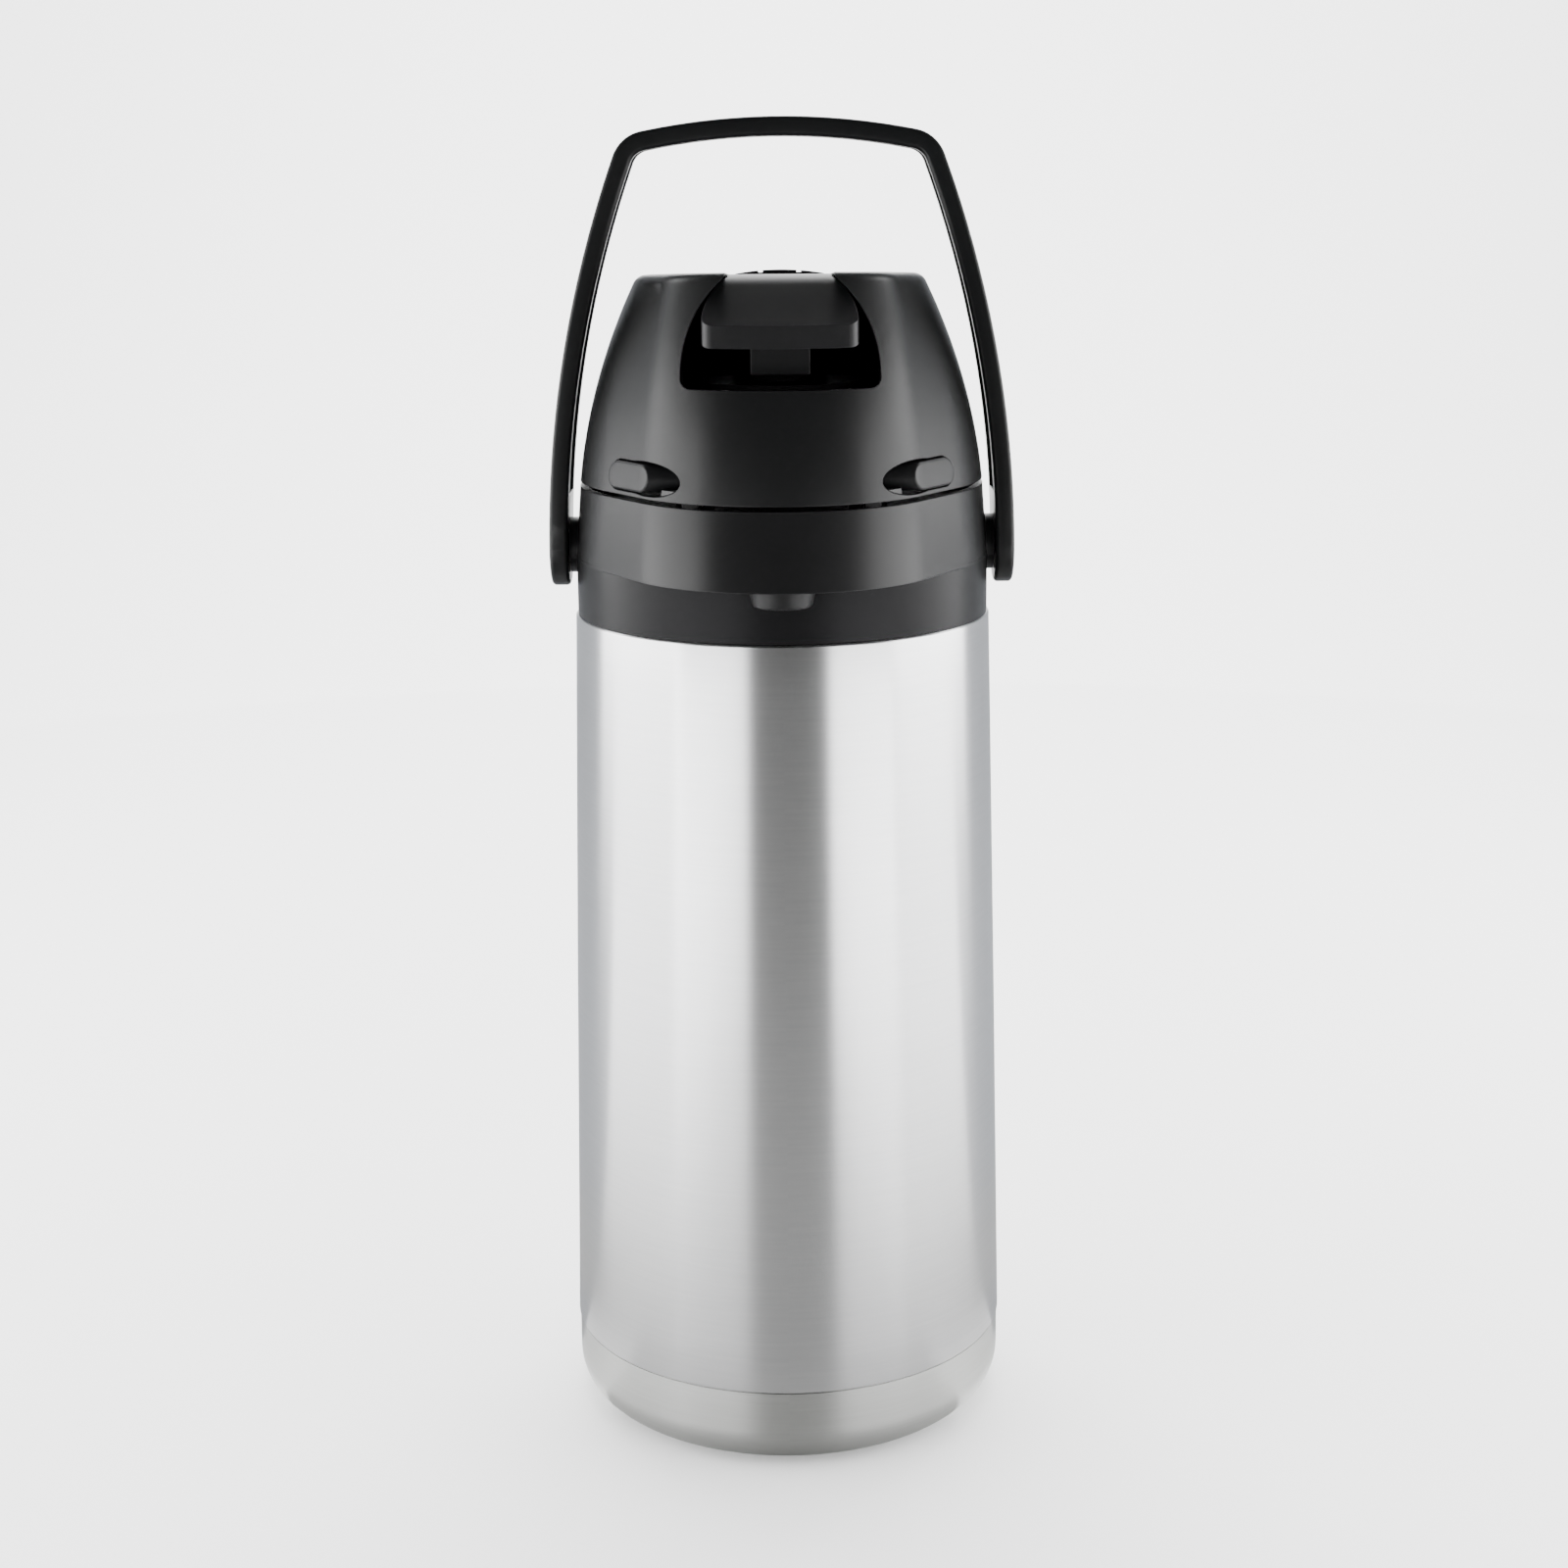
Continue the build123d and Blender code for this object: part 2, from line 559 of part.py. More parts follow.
def hinge_ear(side):
    """Rear ear of the collar: a knuckle on a gusset."""
    start_x = KNUCKLE_HALF + SOFT_FIT
    knuckle = rod(KNUCKLE_R, (start_x, HINGE_Y, HINGE_Z), (start_x + EAR_WIDTH, HINGE_Y, HINGE_Z))
    root_y = COLLAR_TOP_R - 1.0
    side_face = make_face(Polyline(
        (root_y, HINGE_Z), (HINGE_Y + KNUCKLE_R, HINGE_Z), (root_y, HINGE_Z - GUSSET_H), close=True))
    gusset = Pos(start_x, 0, 0) * extrude(Plane.YZ * side_face, EAR_WIDTH)
    ear = knuckle + gusset
    return ear if side > 0 else mirror(ear, about=Plane.YZ)


def make_collar():
    """Collar with the spout overhang, flat sides with handle bosses, rear ears and latch posts."""
    skirt_z = BODY_TOP_Z + FIT
    skirt = Pos(0, 0, skirt_z) * Cylinder(SKIRT_R, LIP_Z + 1 - skirt_z, align=UPRIGHT)
    collar = skirt + collar_form(0, LIP_Z, COLLAR_TOP_Z)
    collar &= block(-COLLAR_FLAT, COLLAR_FLAT, -LIP_FRONT - 1, LIP_FRONT, 0, COLLAR_TOP_Z + 1)
    for sx in (-1, 1):
        boss_end = HANDLE_HALF - HANDLE_T - HANDLE_GAP
        collar += rod(BOSS_R, (sx * (COLLAR_FLAT - 2), 0, HANDLE_PIVOT_Z), (sx * boss_end, 0, HANDLE_PIVOT_Z))
        collar += hinge_ear(sx)
    collar -= Pos(0, 0, skirt_z) * Cylinder(SKIRT_BORE_R, LIP_Z + FLOOR + 0.1 - skirt_z, align=UPRIGHT)
    collar -= collar_form(PLASTIC_WALL, LIP_Z + FLOOR, COLLAR_TOP_Z)
    flange_z = FLANGE_Z + FIT
    collar += turned([
        (FLANGE_INNER_R, flange_z), (SKIRT_BORE_R + 1, flange_z),
        (SKIRT_BORE_R + 1, flange_z + FLANGE_T), (FLANGE_INNER_R, flange_z + FLANGE_T),
    ])
    ledge_z = PLATE_TOP_Z - PLATE_T
    collar += (collar_form(PLASTIC_WALL - 0.4, ledge_z - LEDGE_H, ledge_z)
               - collar_form(PLASTIC_WALL + LEDGE_W, ledge_z - LEDGE_H, ledge_z))
    for sx in (-1, 1):
        collar += rod(CLIP_R + 1, (sx * (CLIP_X + FIT), 0, HANDLE_PIVOT_Z), (sx * COLLAR_TOP_R, 0, HANDLE_PIVOT_Z))
    collar += latch_post(1)
    collar += latch_post(-1)
    for x, y in screw_places():
        collar -= rod(SCREW_R + FIT, (x, y, flange_z - 1), (x, y, flange_z + FLANGE_T + 1))
    collar -= rod(NOZZLE_NECK_R + FIT, (0, NOZZLE_Y, LIP_Z - 1), (0, NOZZLE_Y, LIP_Z + FLOOR + 1))
    collar -= rod(NOZZLE_TOP_R + SOFT_FIT, (0, NOZZLE_Y, LIP_Z - NOZZLE_DROP), (0, NOZZLE_Y, LIP_Z))
    collar -= rod(PIN_R + TOUCH, (-NOSE_R, HINGE_Y, HINGE_Z), (NOSE_R, HINGE_Y, HINGE_Z))
    half = KNUCKLE_HALF + SOFT_FIT
    collar -= rod(KNUCKLE_R + HINGE_CLEAR, (-half, HINGE_Y, HINGE_Z), (half, HINGE_Y, HINGE_Z))
    for sx in (-1, 1):
        collar -= rod(HANDLE_PIN_R + TOUCH, (sx * NOSE_R, 0, HANDLE_PIVOT_Z), (sx * HANDLE_HALF, 0, HANDLE_PIVOT_Z))
    return collar


def make_funnel_plate():
    """Cover inside the collar that dishes down to the mouth, notched round the latch posts."""
    under_z = PLATE_TOP_Z - PLATE_T
    plate = collar_form(PLASTIC_WALL + SOFT_FIT, under_z, PLATE_TOP_Z)
    plate -= Pos(0, 0, under_z) * Cylinder(FUNNEL_TOP_R, PLATE_T, align=UPRIGHT)
    plate += turned([
        (FUNNEL_MOUTH_R, INSERT_TOP_Z), (FUNNEL_MOUTH_R + DISH_WALL, INSERT_TOP_Z),
        (FUNNEL_TOP_R + 1.5, under_z), (FUNNEL_TOP_R + 1.5, PLATE_TOP_Z), (FUNNEL_TOP_R, PLATE_TOP_Z),
    ])
    inner_x = TONGUE_X + NOSE_BITE + NOSE_GAP
    notch = block(inner_x - SOFT_FIT, inner_x + NOSE_BITE + POST_T + SOFT_FIT, -LIP_FRONT,
                  -TONGUE_REAR_Y + SOFT_FIT, under_z - 1, PLATE_TOP_Z + 1)
    for cut in both_sides(notch):
        plate -= cut
    return plate


def make_mouth_gasket():
    """Flat seal between the flask's rim and the mouth insert."""
    z = RIM_Z + STEEL_WALL
    inner_r = INNER_NECK_R
    return turned([(inner_r, z), (INSERT_FLANGE_R, z), (INSERT_FLANGE_R, INSERT_Z), (inner_r, INSERT_Z)])


def make_mouth_insert():
    """Ring in the mouth with a spigot, the dip tube's boss and the duct forward to the spout."""
    foot_z = INSERT_Z - SPIGOT_DEPTH
    insert = turned([
        (INSERT_BORE_R, foot_z), (SPIGOT_R, foot_z), (SPIGOT_R, INSERT_Z), (INSERT_FLANGE_R, INSERT_Z),
        (INSERT_FLANGE_R, INSERT_TOP_Z), (INSERT_BORE_R, INSERT_TOP_Z),
    ])
    boss_r = TUBE_R + BOSS_WALL
    insert += rod(boss_r, (0, -TUBE_FRONT, foot_z), (0, -TUBE_FRONT, INSERT_TOP_Z))
    insert += block(-boss_r + 1, boss_r - 1, -INSERT_BORE_R - 1, -TUBE_FRONT, foot_z, INSERT_TOP_Z)
    insert -= rod(TUBE_R + TOUCH, (0, -TUBE_FRONT, foot_z - 1), (0, -TUBE_FRONT, TUBE_TOP_Z))
    insert -= rod(TUBE_BORE_R, (0, -TUBE_FRONT, foot_z), (0, -TUBE_FRONT, PIPE_Z + 2))
    insert -= rod(PIPE_BORE_R, (0, -TUBE_FRONT, PIPE_Z), (0, -INSERT_FLANGE_R, PIPE_Z))
    insert -= rod(PIPE_R + TOUCH, (0, -INSERT_FLANGE_R + PIPE_GRIP, PIPE_Z), (0, -NECK_R - 2, PIPE_Z))
    return insert


def make_dip_tube():
    """Straight tube from the insert's boss down to just above the flask's bottom."""
    start, end = (0, -TUBE_FRONT, TUBE_FOOT_Z), (0, -TUBE_FRONT, TUBE_TOP_Z)
    return rod(TUBE_R, start, end) - rod(TUBE_BORE_R, start, end)


def make_intake_cap():
    """Notched cap on the foot of the dip tube, which keeps it off the bottom."""
    outer_r = TUBE_R + BOSS_WALL
    foot_z = TUBE_FOOT_Z - CAP_FOOT
    cap = turned([
        (TUBE_BORE_R, foot_z), (outer_r, foot_z), (outer_r, TUBE_FOOT_Z + CAP_GRIP),
        (TUBE_R + TOUCH, TUBE_FOOT_Z + CAP_GRIP), (TUBE_R + TOUCH, TUBE_FOOT_Z), (TUBE_BORE_R, TUBE_FOOT_Z),
    ])
    for turn in (0, 90):
        cap -= Rot(0, 0, turn) * Pos(0, 0, foot_z) * Box(3 * outer_r, CAP_NOTCH, CAP_NOTCH, align=UPRIGHT)
    return Pos(0, -TUBE_FRONT, 0) * cap


def make_spout_pipe():
    """Level pipe from the insert's front port to the nozzle."""
    start = (0, -INSERT_FLANGE_R + PIPE_GRIP, PIPE_Z)
    end = (0, NOZZLE_Y + NOZZLE_NECK_R - PIPE_GRIP, PIPE_Z)
    return rod(PIPE_R, start, end) - rod(PIPE_BORE_R, start, end)


def make_pipe_gaskets():
    """Soft rings where the pipe enters the insert and the nozzle."""
    rings = []
    for y in (-INSERT_FLANGE_R - FIT - GASKET_H, NOZZLE_Y + NOZZLE_NECK_R + FIT):
        start, end = (0, y, PIPE_Z), (0, y + GASKET_H, PIPE_Z)
        rings.append(rod(PIPE_R + GASKET_H, start, end) - rod(PIPE_R + TOUCH, start, end))
    return Compound(children=rings)


def make_nozzle():
    """Tapered spout tip under the overhang, its neck through the floor and the pipe's socket."""
    tip_z = LIP_Z - NOZZLE_DROP
    shoulder_z = LIP_Z - TOUCH
    top_z = PIPE_Z + PIPE_R + 0.3
    nozzle = turned([
        (0, tip_z), (NOZZLE_TIP_R, tip_z), (NOZZLE_TOP_R, shoulder_z), (NOZZLE_NECK_R, shoulder_z),
        (NOZZLE_NECK_R, top_z), (0, top_z),
    ])
    nozzle = fillet(nozzle.edges().group_by(Axis.Z)[0], NOZZLE_EDGE_R)
    nozzle -= rod(PIPE_R, (0, 0, tip_z - 1), (0, 0, PIPE_Z + 2))
    nozzle -= rod(PIPE_BORE_R, (0, 0, PIPE_Z), (0, NOZZLE_NECK_R + 1, PIPE_Z))
    nozzle -= rod(PIPE_R + TOUCH, (0, NOZZLE_NECK_R - PIPE_GRIP, PIPE_Z), (0, NOZZLE_NECK_R + 2, PIPE_Z))
    return Pos(0, NOZZLE_Y, 0) * nozzle


def make_hinge_pin():
    """Steel pin through the collar's ears and the lid's knuckle."""
    half = KNUCKLE_HALF + SOFT_FIT + EAR_WIDTH
    return rod(PIN_R, (-half, HINGE_Y, HINGE_Z), (half, HINGE_Y, HINGE_Z))


def make_handle_pins():
    """Shouldered pins that the bail swings on, headed flush in its arms."""
    head_out = HANDLE_HALF - HEAD_SINK
    head_in = head_out - HANDLE_HEAD_T
    inner = CLIP_X - CLIP_T - 1.0
    pin = rod(HANDLE_PIN_R, (inner, 0, HANDLE_PIVOT_Z), (head_in, 0, HANDLE_PIVOT_Z))
    pin += rod(HANDLE_HEAD_R, (head_in, 0, HANDLE_PIVOT_Z), (head_out, 0, HANDLE_PIVOT_Z))
    return Compound(children=both_sides(pin))


def make_handle_clips():
    """Spring washers on the pins, inside the collar's wall."""
    start, end = (CLIP_X - CLIP_T, 0, HANDLE_PIVOT_Z), (CLIP_X, 0, HANDLE_PIVOT_Z)
    clip = rod(CLIP_R, start, end) - rod(HANDLE_PIN_R + TOUCH, start, end)
    return Compound(children=both_sides(clip))


# Lid

def well_face(grow, floor_z):
    """Front view of the lever recess: upright sides that curve in towards the top."""
    half = WELL_HALF + grow
    top = WELL_TOP_HALF + grow
    right = Line((half, floor_z), (half, WELL_ARC_Z))
    bend = TangentArc((half, WELL_ARC_Z), (top, WELL_TOP_Z), tangent=(0, 1))
    outline = (
        Line((-half, floor_z), (half, floor_z)) + right + bend
        + Line((top, WELL_TOP_Z), (top, OVER_TOP_Z)) + Line((top, OVER_TOP_Z), (-top, OVER_TOP_Z))
        + Line((-top, OVER_TOP_Z), (-top, WELL_TOP_Z))
        + mirror(bend, about=Plane.YZ) + mirror(right, about=Plane.YZ)
    )
    face = make_face(outline)
    return fillet(face.vertices().group_by(Axis.Y)[0], WELL_CORNER_R)


def forward(face, rear_y, front_y):
    """Solid between two distances in front of the axis, from a front view face."""
    return Pos(0, -rear_y, 0) * extrude(Plane.XZ * face, front_y - rear_y)


def latch_prism(grow, start_x, end_x):
    """Oval bar along X with the latch button's section."""
    section = SlotOverall(2 * (LATCH_HALF_D + grow), 2 * (LATCH_HALF_H + grow))
    place = Plane(origin=(start_x, -LATCH_Y, LATCH_Z), x_dir=(0, 1, 0), z_dir=(1, 0, 0))
    return extrude(place * section, end_x - start_x)


def lid_screw_places():
    """Where the four lid screws stand."""
    return [(sx * LID_SCREW_X, y) for sx in (-1, 1) for y in (LID_SCREW_REAR, -LID_SCREW_FRONT)]


def make_lid_shell():
    """Domed head with the lever recess, its well, latch holes, screw bosses and rear knuckle."""
    dome = lid_form(0, LID_Z, LID_TOP_Z)
    dome = fillet(dome.faces().sort_by(Axis.Z)[-1].edges(), LID_TOP_EDGE_R)
    hollow = lid_form(PLASTIC_WALL, LID_Z - 0.5, LID_TOP_Z - PLASTIC_WALL)
    walls = forward(well_face(WELL_WALL, WELL_FLOOR_Z - WELL_WALL), WELL_REAR - WELL_WALL, LIP_FRONT)
    inside = walls
    for x, y in lid_screw_places():
        inside += rod(LID_BOSS_R, (x, y, LID_BASE_Z + LID_BASE_T), (x, y, WELL_ARC_Z))
    for sx in (-1, 1):
        near, far = sx * WELL_TOP_HALF, sx * (WELL_TOP_HALF + LEVER_BOSS_W)
        inside += rod(PIN_BOSS_R, (near, PIVOT_Y, PIVOT_Z), (far, PIVOT_Y, PIVOT_Z))
        inside += block(min(near, far), max(near, far), PIVOT_Y - PIN_BOSS_R, PIVOT_Y + PIN_BOSS_R,
                        PIVOT_Z, OVER_TOP_Z)
    shell = dome - hollow + (inside & dome)
    shell -= forward(well_face(0, WELL_FLOOR_Z), WELL_REAR, LIP_FRONT) & hollow
    shell -= forward(well_face(0, SILL_Z), WELL_REAR, LIP_FRONT)
    shell -= block(-WELL_HALF, WELL_HALF, -WELL_REAR - 1, -WELL_REAR + WELL_WALL + 1,
                   WELL_FLOOR_Z + WELL_BACK_H, LID_TOP_Z - PLASTIC_WALL)
    slot_end = PIVOT_Y + LEVER_TAIL + LEVER_SIDE_GAP
    shell -= block(-WELL_TOP_HALF, WELL_TOP_HALF, -WELL_REAR - 4, slot_end, PIVOT_Z + PIN_R, OVER_TOP_Z)
    shell -= rod(PIN_R + TOUCH, (-LEVER_PIN_HALF, PIVOT_Y, PIVOT_Z), (LEVER_PIN_HALF, PIVOT_Y, PIVOT_Z))
    bore = latch_prism(LATCH_GAP, LATCH_INNER_X + 10, LIP_FRONT)
    relief = Pos(RELIEF_X, LATCH_Z, 0) * Ellipse(RELIEF_HALF, RELIEF_HALF_H)
    bore += forward(relief, LATCH_Y, LIP_FRONT)
    for cut in both_sides(bore):
        shell -= cut
    for x, y in lid_screw_places():
        shell -= rod(SCREW_R + TOUCH, (x, y, LID_BASE_Z), (x, y, LID_BASE_Z + LID_SCREW_LENGTH))
    return add_lid_hinge(shell)


def add_lid_hinge(shell):
    """Fuse the rear knuckle on its gusset, and clear the collar's ears."""
    root_y = LID_BASE_HALF - 1.0
    side_face = make_face(Polyline(
        (root_y, HINGE_Z), (HINGE_Y + KNUCKLE_R, HINGE_Z), (root_y - 1.5, HINGE_Z + GUSSET_H), close=True))
    shell += Pos(-KNUCKLE_HALF, 0, 0) * extrude(Plane.YZ * side_face, 2 * KNUCKLE_HALF)
    shell += rod(KNUCKLE_R, (-KNUCKLE_HALF, HINGE_Y, HINGE_Z), (KNUCKLE_HALF, HINGE_Y, HINGE_Z))
    shell -= rod(PIN_R + RUNNING, (-NOSE_R, HINGE_Y, HINGE_Z), (NOSE_R, HINGE_Y, HINGE_Z))
    ear_end = KNUCKLE_HALF + 2 * SOFT_FIT + EAR_WIDTH
    clear = rod(KNUCKLE_R + HINGE_CLEAR, (KNUCKLE_HALF, HINGE_Y, HINGE_Z), (ear_end, HINGE_Y, HINGE_Z))
    for cut in both_sides(clear):
        shell -= cut
    return shell


def make_lid_base():
    """Plate under the lid with the bellows cup, air holes, tongue slots and latch rests."""
    top_z = LID_BASE_Z + LID_BASE_T
    plate = lid_form(PLASTIC_WALL + FIT, LID_BASE_Z, top_z, steps=1)
    inner_r = CUP_R - CUP_WALL
    plate -= Pos(0, 0, LID_BASE_Z) * Cylinder(inner_r, LID_BASE_T, align=UPRIGHT)
    plate += turned([
        (0, CUP_FLOOR_Z), (CUP_R, CUP_FLOOR_Z), (CUP_R, top_z), (inner_r, top_z),
        (inner_r, BELLOWS_Z), (0, BELLOWS_Z),
    ])
    plate -= rod(VALVE_STEM_R + TOUCH, (0, 0, CUP_FLOOR_Z - 1), (0, 0, BELLOWS_Z + 1))
    for turn in range(0, 360, 60):
        plate -= Rot(0, 0, turn) * rod(AIR_HOLE_R, (AIR_PITCH_R, 0, CUP_FLOOR_Z - 1), (AIR_PITCH_R, 0, BELLOWS_Z + 1))
    slot = block(TONGUE_X - TONGUE_T - LATCH_STROKE - SOFT_FIT, TONGUE_X + NOSE_BITE + SOFT_FIT,
                 -TONGUE_FRONT_Y - SOFT_FIT, -TONGUE_REAR_Y + SOFT_FIT, LID_BASE_Z - 1, top_z + 1)
    rest = block(LATCH_INNER_X + 1, LATCH_INNER_X + 8, -LATCH_Y - 5, -LATCH_Y + 5, top_z, STEM_Z - FIT)
    notch = block(LATCH_INNER_X + 12 - LATCH_STROKE - LATCH_GAP, LIP_FRONT, -LATCH_Y - LATCH_HALF_D - LATCH_GAP,
                  -LATCH_Y + LATCH_HALF_D + LATCH_GAP, LID_BASE_Z - 1, top_z + 1)
    for cut in both_sides(slot) + both_sides(notch):
        plate -= cut
    for pad in both_sides(rest):
        plate += pad
    plate += block(-SPRING_SEAT_HALF, SPRING_SEAT_HALF, -LATCH_Y - 2, -LATCH_Y + 2, top_z,
                   LATCH_Z - LATCH_SPRING_R - LATCH_WIRE_R - FIT)
    for x, y in lid_screw_places():
        plate -= rod(SCREW_R + FIT, (x, y, LID_BASE_Z - 1), (x, y, top_z + 1))
    return plate


def make_lid_screws():
    """Four screws up through the base plate into the shell's bosses."""
    screws = []
    for x, y in lid_screw_places():
        head = rod(SCREW_HEAD_R, (x, y, LID_BASE_Z - SCREW_HEAD_H), (x, y, LID_BASE_Z))
        shank = rod(SCREW_R, (x, y, LID_BASE_Z), (x, y, LID_BASE_Z + LID_SCREW_LENGTH - 1))
        screws.append(head + shank)
    return Compound(children=screws)


def make_lid_seal():
    """Soft ring under the bellows cup that closes the mouth, with a rounded pressing edge."""
    low_z = INSERT_TOP_Z + SOFT_FIT
    outer_r = CUP_R - 1.0
    bulge = 1.2
    return turned([
        (SEAL_INNER_R, CUP_FLOOR_Z), (SEAL_INNER_R, low_z + bulge), (SEAL_INNER_R + bulge, low_z),
        (outer_r - bulge, low_z), (outer_r, low_z + bulge), (outer_r, CUP_FLOOR_Z),
    ])


def make_air_valve():
    """Soft one-way flap under the air holes, held by its stem and bead."""
    low_z = CUP_FLOOR_Z - VALVE_T
    bead = 1.2
    return turned([
        (0, low_z), (VALVE_R, low_z), (VALVE_R, CUP_FLOOR_Z), (VALVE_STEM_R, CUP_FLOOR_Z),
        (VALVE_STEM_R, BELLOWS_Z), (VALVE_STEM_R + bead, BELLOWS_Z), (VALVE_STEM_R, BELLOWS_Z + 2 * bead),
        (0, BELLOWS_Z + 2 * bead),
    ])


def make_bellows():
    """Pleated pump bellows between the cup's floor and the pump plate."""
    pitch = (PUMP_PLATE_Z - BELLOWS_Z) / BELLOWS_FOLDS
    outside = [(BELLOWS_R - BELLOWS_FOLD, BELLOWS_Z)]
    for i in range(BELLOWS_FOLDS):
        z = BELLOWS_Z + i * pitch
        outside += [(BELLOWS_R, z + pitch / 2), (BELLOWS_R - BELLOWS_FOLD, z + pitch)]
    inside = [(r - BELLOWS_WALL, z) for r, z in reversed(outside)]
    return turned(outside + inside)


def make_return_spring():
    """Coil spring inside the bellows that lifts the pump plate."""
    height = PUMP_PLATE_Z - BELLOWS_Z - 2 * SPRING_WIRE_R
    return coil(SPRING_R, SPRING_WIRE_R, height, SPRING_TURNS, (0, 0, BELLOWS_Z + SPRING_WIRE_R), (0, 0, 1))


def coil(radius, wire_r, height, turns, origin, direction):
    """Round wire wound as a helix."""
    path = Helix(height / turns, height, radius)
    wire = Plane(path @ 0, z_dir=path % 0) * Circle(wire_r)
    return Plane(origin=origin, z_dir=direction) * sweep(wire, path=path, is_frenet=True)


def make_lever_pin():
    """Steel pin across the head that the lever turns on."""
    return rod(PIN_R, (-LEVER_PIN_HALF + FIT, PIVOT_Y, PIVOT_Z), (LEVER_PIN_HALF - FIT, PIVOT_Y, PIVOT_Z))


def make_latch_spring():
    """Small spring in its cradle between the two latches."""
    half = LATCH_INNER_X - LATCH_STROKE - SOFT_FIT - LATCH_WIRE_R
    return coil(LATCH_SPRING_R, LATCH_WIRE_R, 2 * half, LATCH_SPRING_TURNS, (-half, -LATCH_Y, LATCH_Z), (1, 0, 0))


def make_pump_plate():
    """Top of the bellows with the domed crown that the lever's rib rubs on."""
    top_z = PUMP_PLATE_Z + PUMP_PLATE_T
    plate = Pos(0, 0, PUMP_PLATE_Z) * Cylinder(PUMP_PLATE_R, PUMP_PLATE_T, align=UPRIGHT)
    crown = Pos(0, 0, top_z - 1) * Cylinder(CROWN_R, CROWN_RISE + 1, align=UPRIGHT)
    crown &= Pos(0, 0, CROWN_TOP_Z - CROWN_BALL_R) * Sphere(CROWN_BALL_R)
    seat_r = SPRING_R - SPRING_WIRE_R - SOFT_FIT
    seat = Pos(0, 0, PUMP_PLATE_Z - SPRING_SEAT_H) * Cylinder(seat_r, SPRING_SEAT_H, align=UPRIGHT)
    seat -= Pos(0, 0, PUMP_PLATE_Z - SPRING_SEAT_H) * Cylinder(seat_r - 2, SPRING_SEAT_H, align=UPRIGHT)
    return plate + crown + seat


# Lever and lock

def lever_top(y, inset=0.0):
    """Height of the lever's top at a place along the head, which falls to the rear with it."""
    return LEVER_TOP_Z - inset - LID_TOP_SLOPE * y


def lever_form(inset, deep_z=None):
    """Lever's outer form: plan outline and side profile, both drawn in by inset."""
    half = WELL_TOP_HALF - LEVER_SIDE_GAP - inset
    pad = LEVER_PAD_HALF - inset
    tip_y = -LEVER_TIP_Y + inset
    tail_y = PIVOT_Y + LEVER_TAIL - inset
    shoulder = (half, -LEVER_SHOULDER_Y)
    bulge = (pad - LEVER_BULGE, -LEVER_SHOULDER_Y - 0.42 * LEVER_SLOPE_LENGTH)
    cheek = (pad, tip_y + LEVER_TIP_R + inset + 0.5)
    right = Line((half, tail_y), shoulder) + ThreePointArc(shoulder, bulge, cheek) + Line(cheek, (pad, tip_y))
    outline = (right + mirror(right, about=Plane.YZ) + Line((-half, tail_y), (half, tail_y))
               + ThreePointArc((pad, tip_y), (0, tip_y - LEVER_TIP_BOW), (-pad, tip_y)))
    face = make_face(outline)
    corners = [v for v in face.vertices() if abs(v.Y - tip_y) < FIT]
    plan = extrude(Pos(0, 0, WELL_FLOOR_Z) * fillet(corners, LEVER_TIP_R - inset / 2), LID_HEIGHT)
    tip_top = LID_TOP_Z - LEVER_TIP_DROP - inset
    tip_low = LID_TOP_Z - LEVER_TIP_DROP - LEVER_TIP_FACE
    low_z = LEVER_TOP_Z - LEVER_SIDE_H
    far_y = -LEVER_TIP_Y - LEVER_TIP_BOW
    tail_z = lever_top(tail_y, inset)
    bend = FilletPolyline((tail_y, tail_z), (-LEVER_SHOULDER_Y, lever_top(-LEVER_SHOULDER_Y, inset)),
                          (far_y, tip_top), radius=LEVER_BEND_R)
    if deep_z is None:
        under = Polyline((far_y, tip_top), (far_y, tip_low), (-LEVER_SHOULDER_Y, low_z), (tail_y, low_z),
                         (tail_y, tail_z))
    else:
        under = Polyline((far_y, tip_top), (far_y, deep_z), (tail_y, deep_z), (tail_y, tail_z))
    profile = Pos(-WELL_HALF, 0, 0) * extrude(Plane.YZ * make_face(bend + under), 2 * WELL_HALF)
    return plan & profile


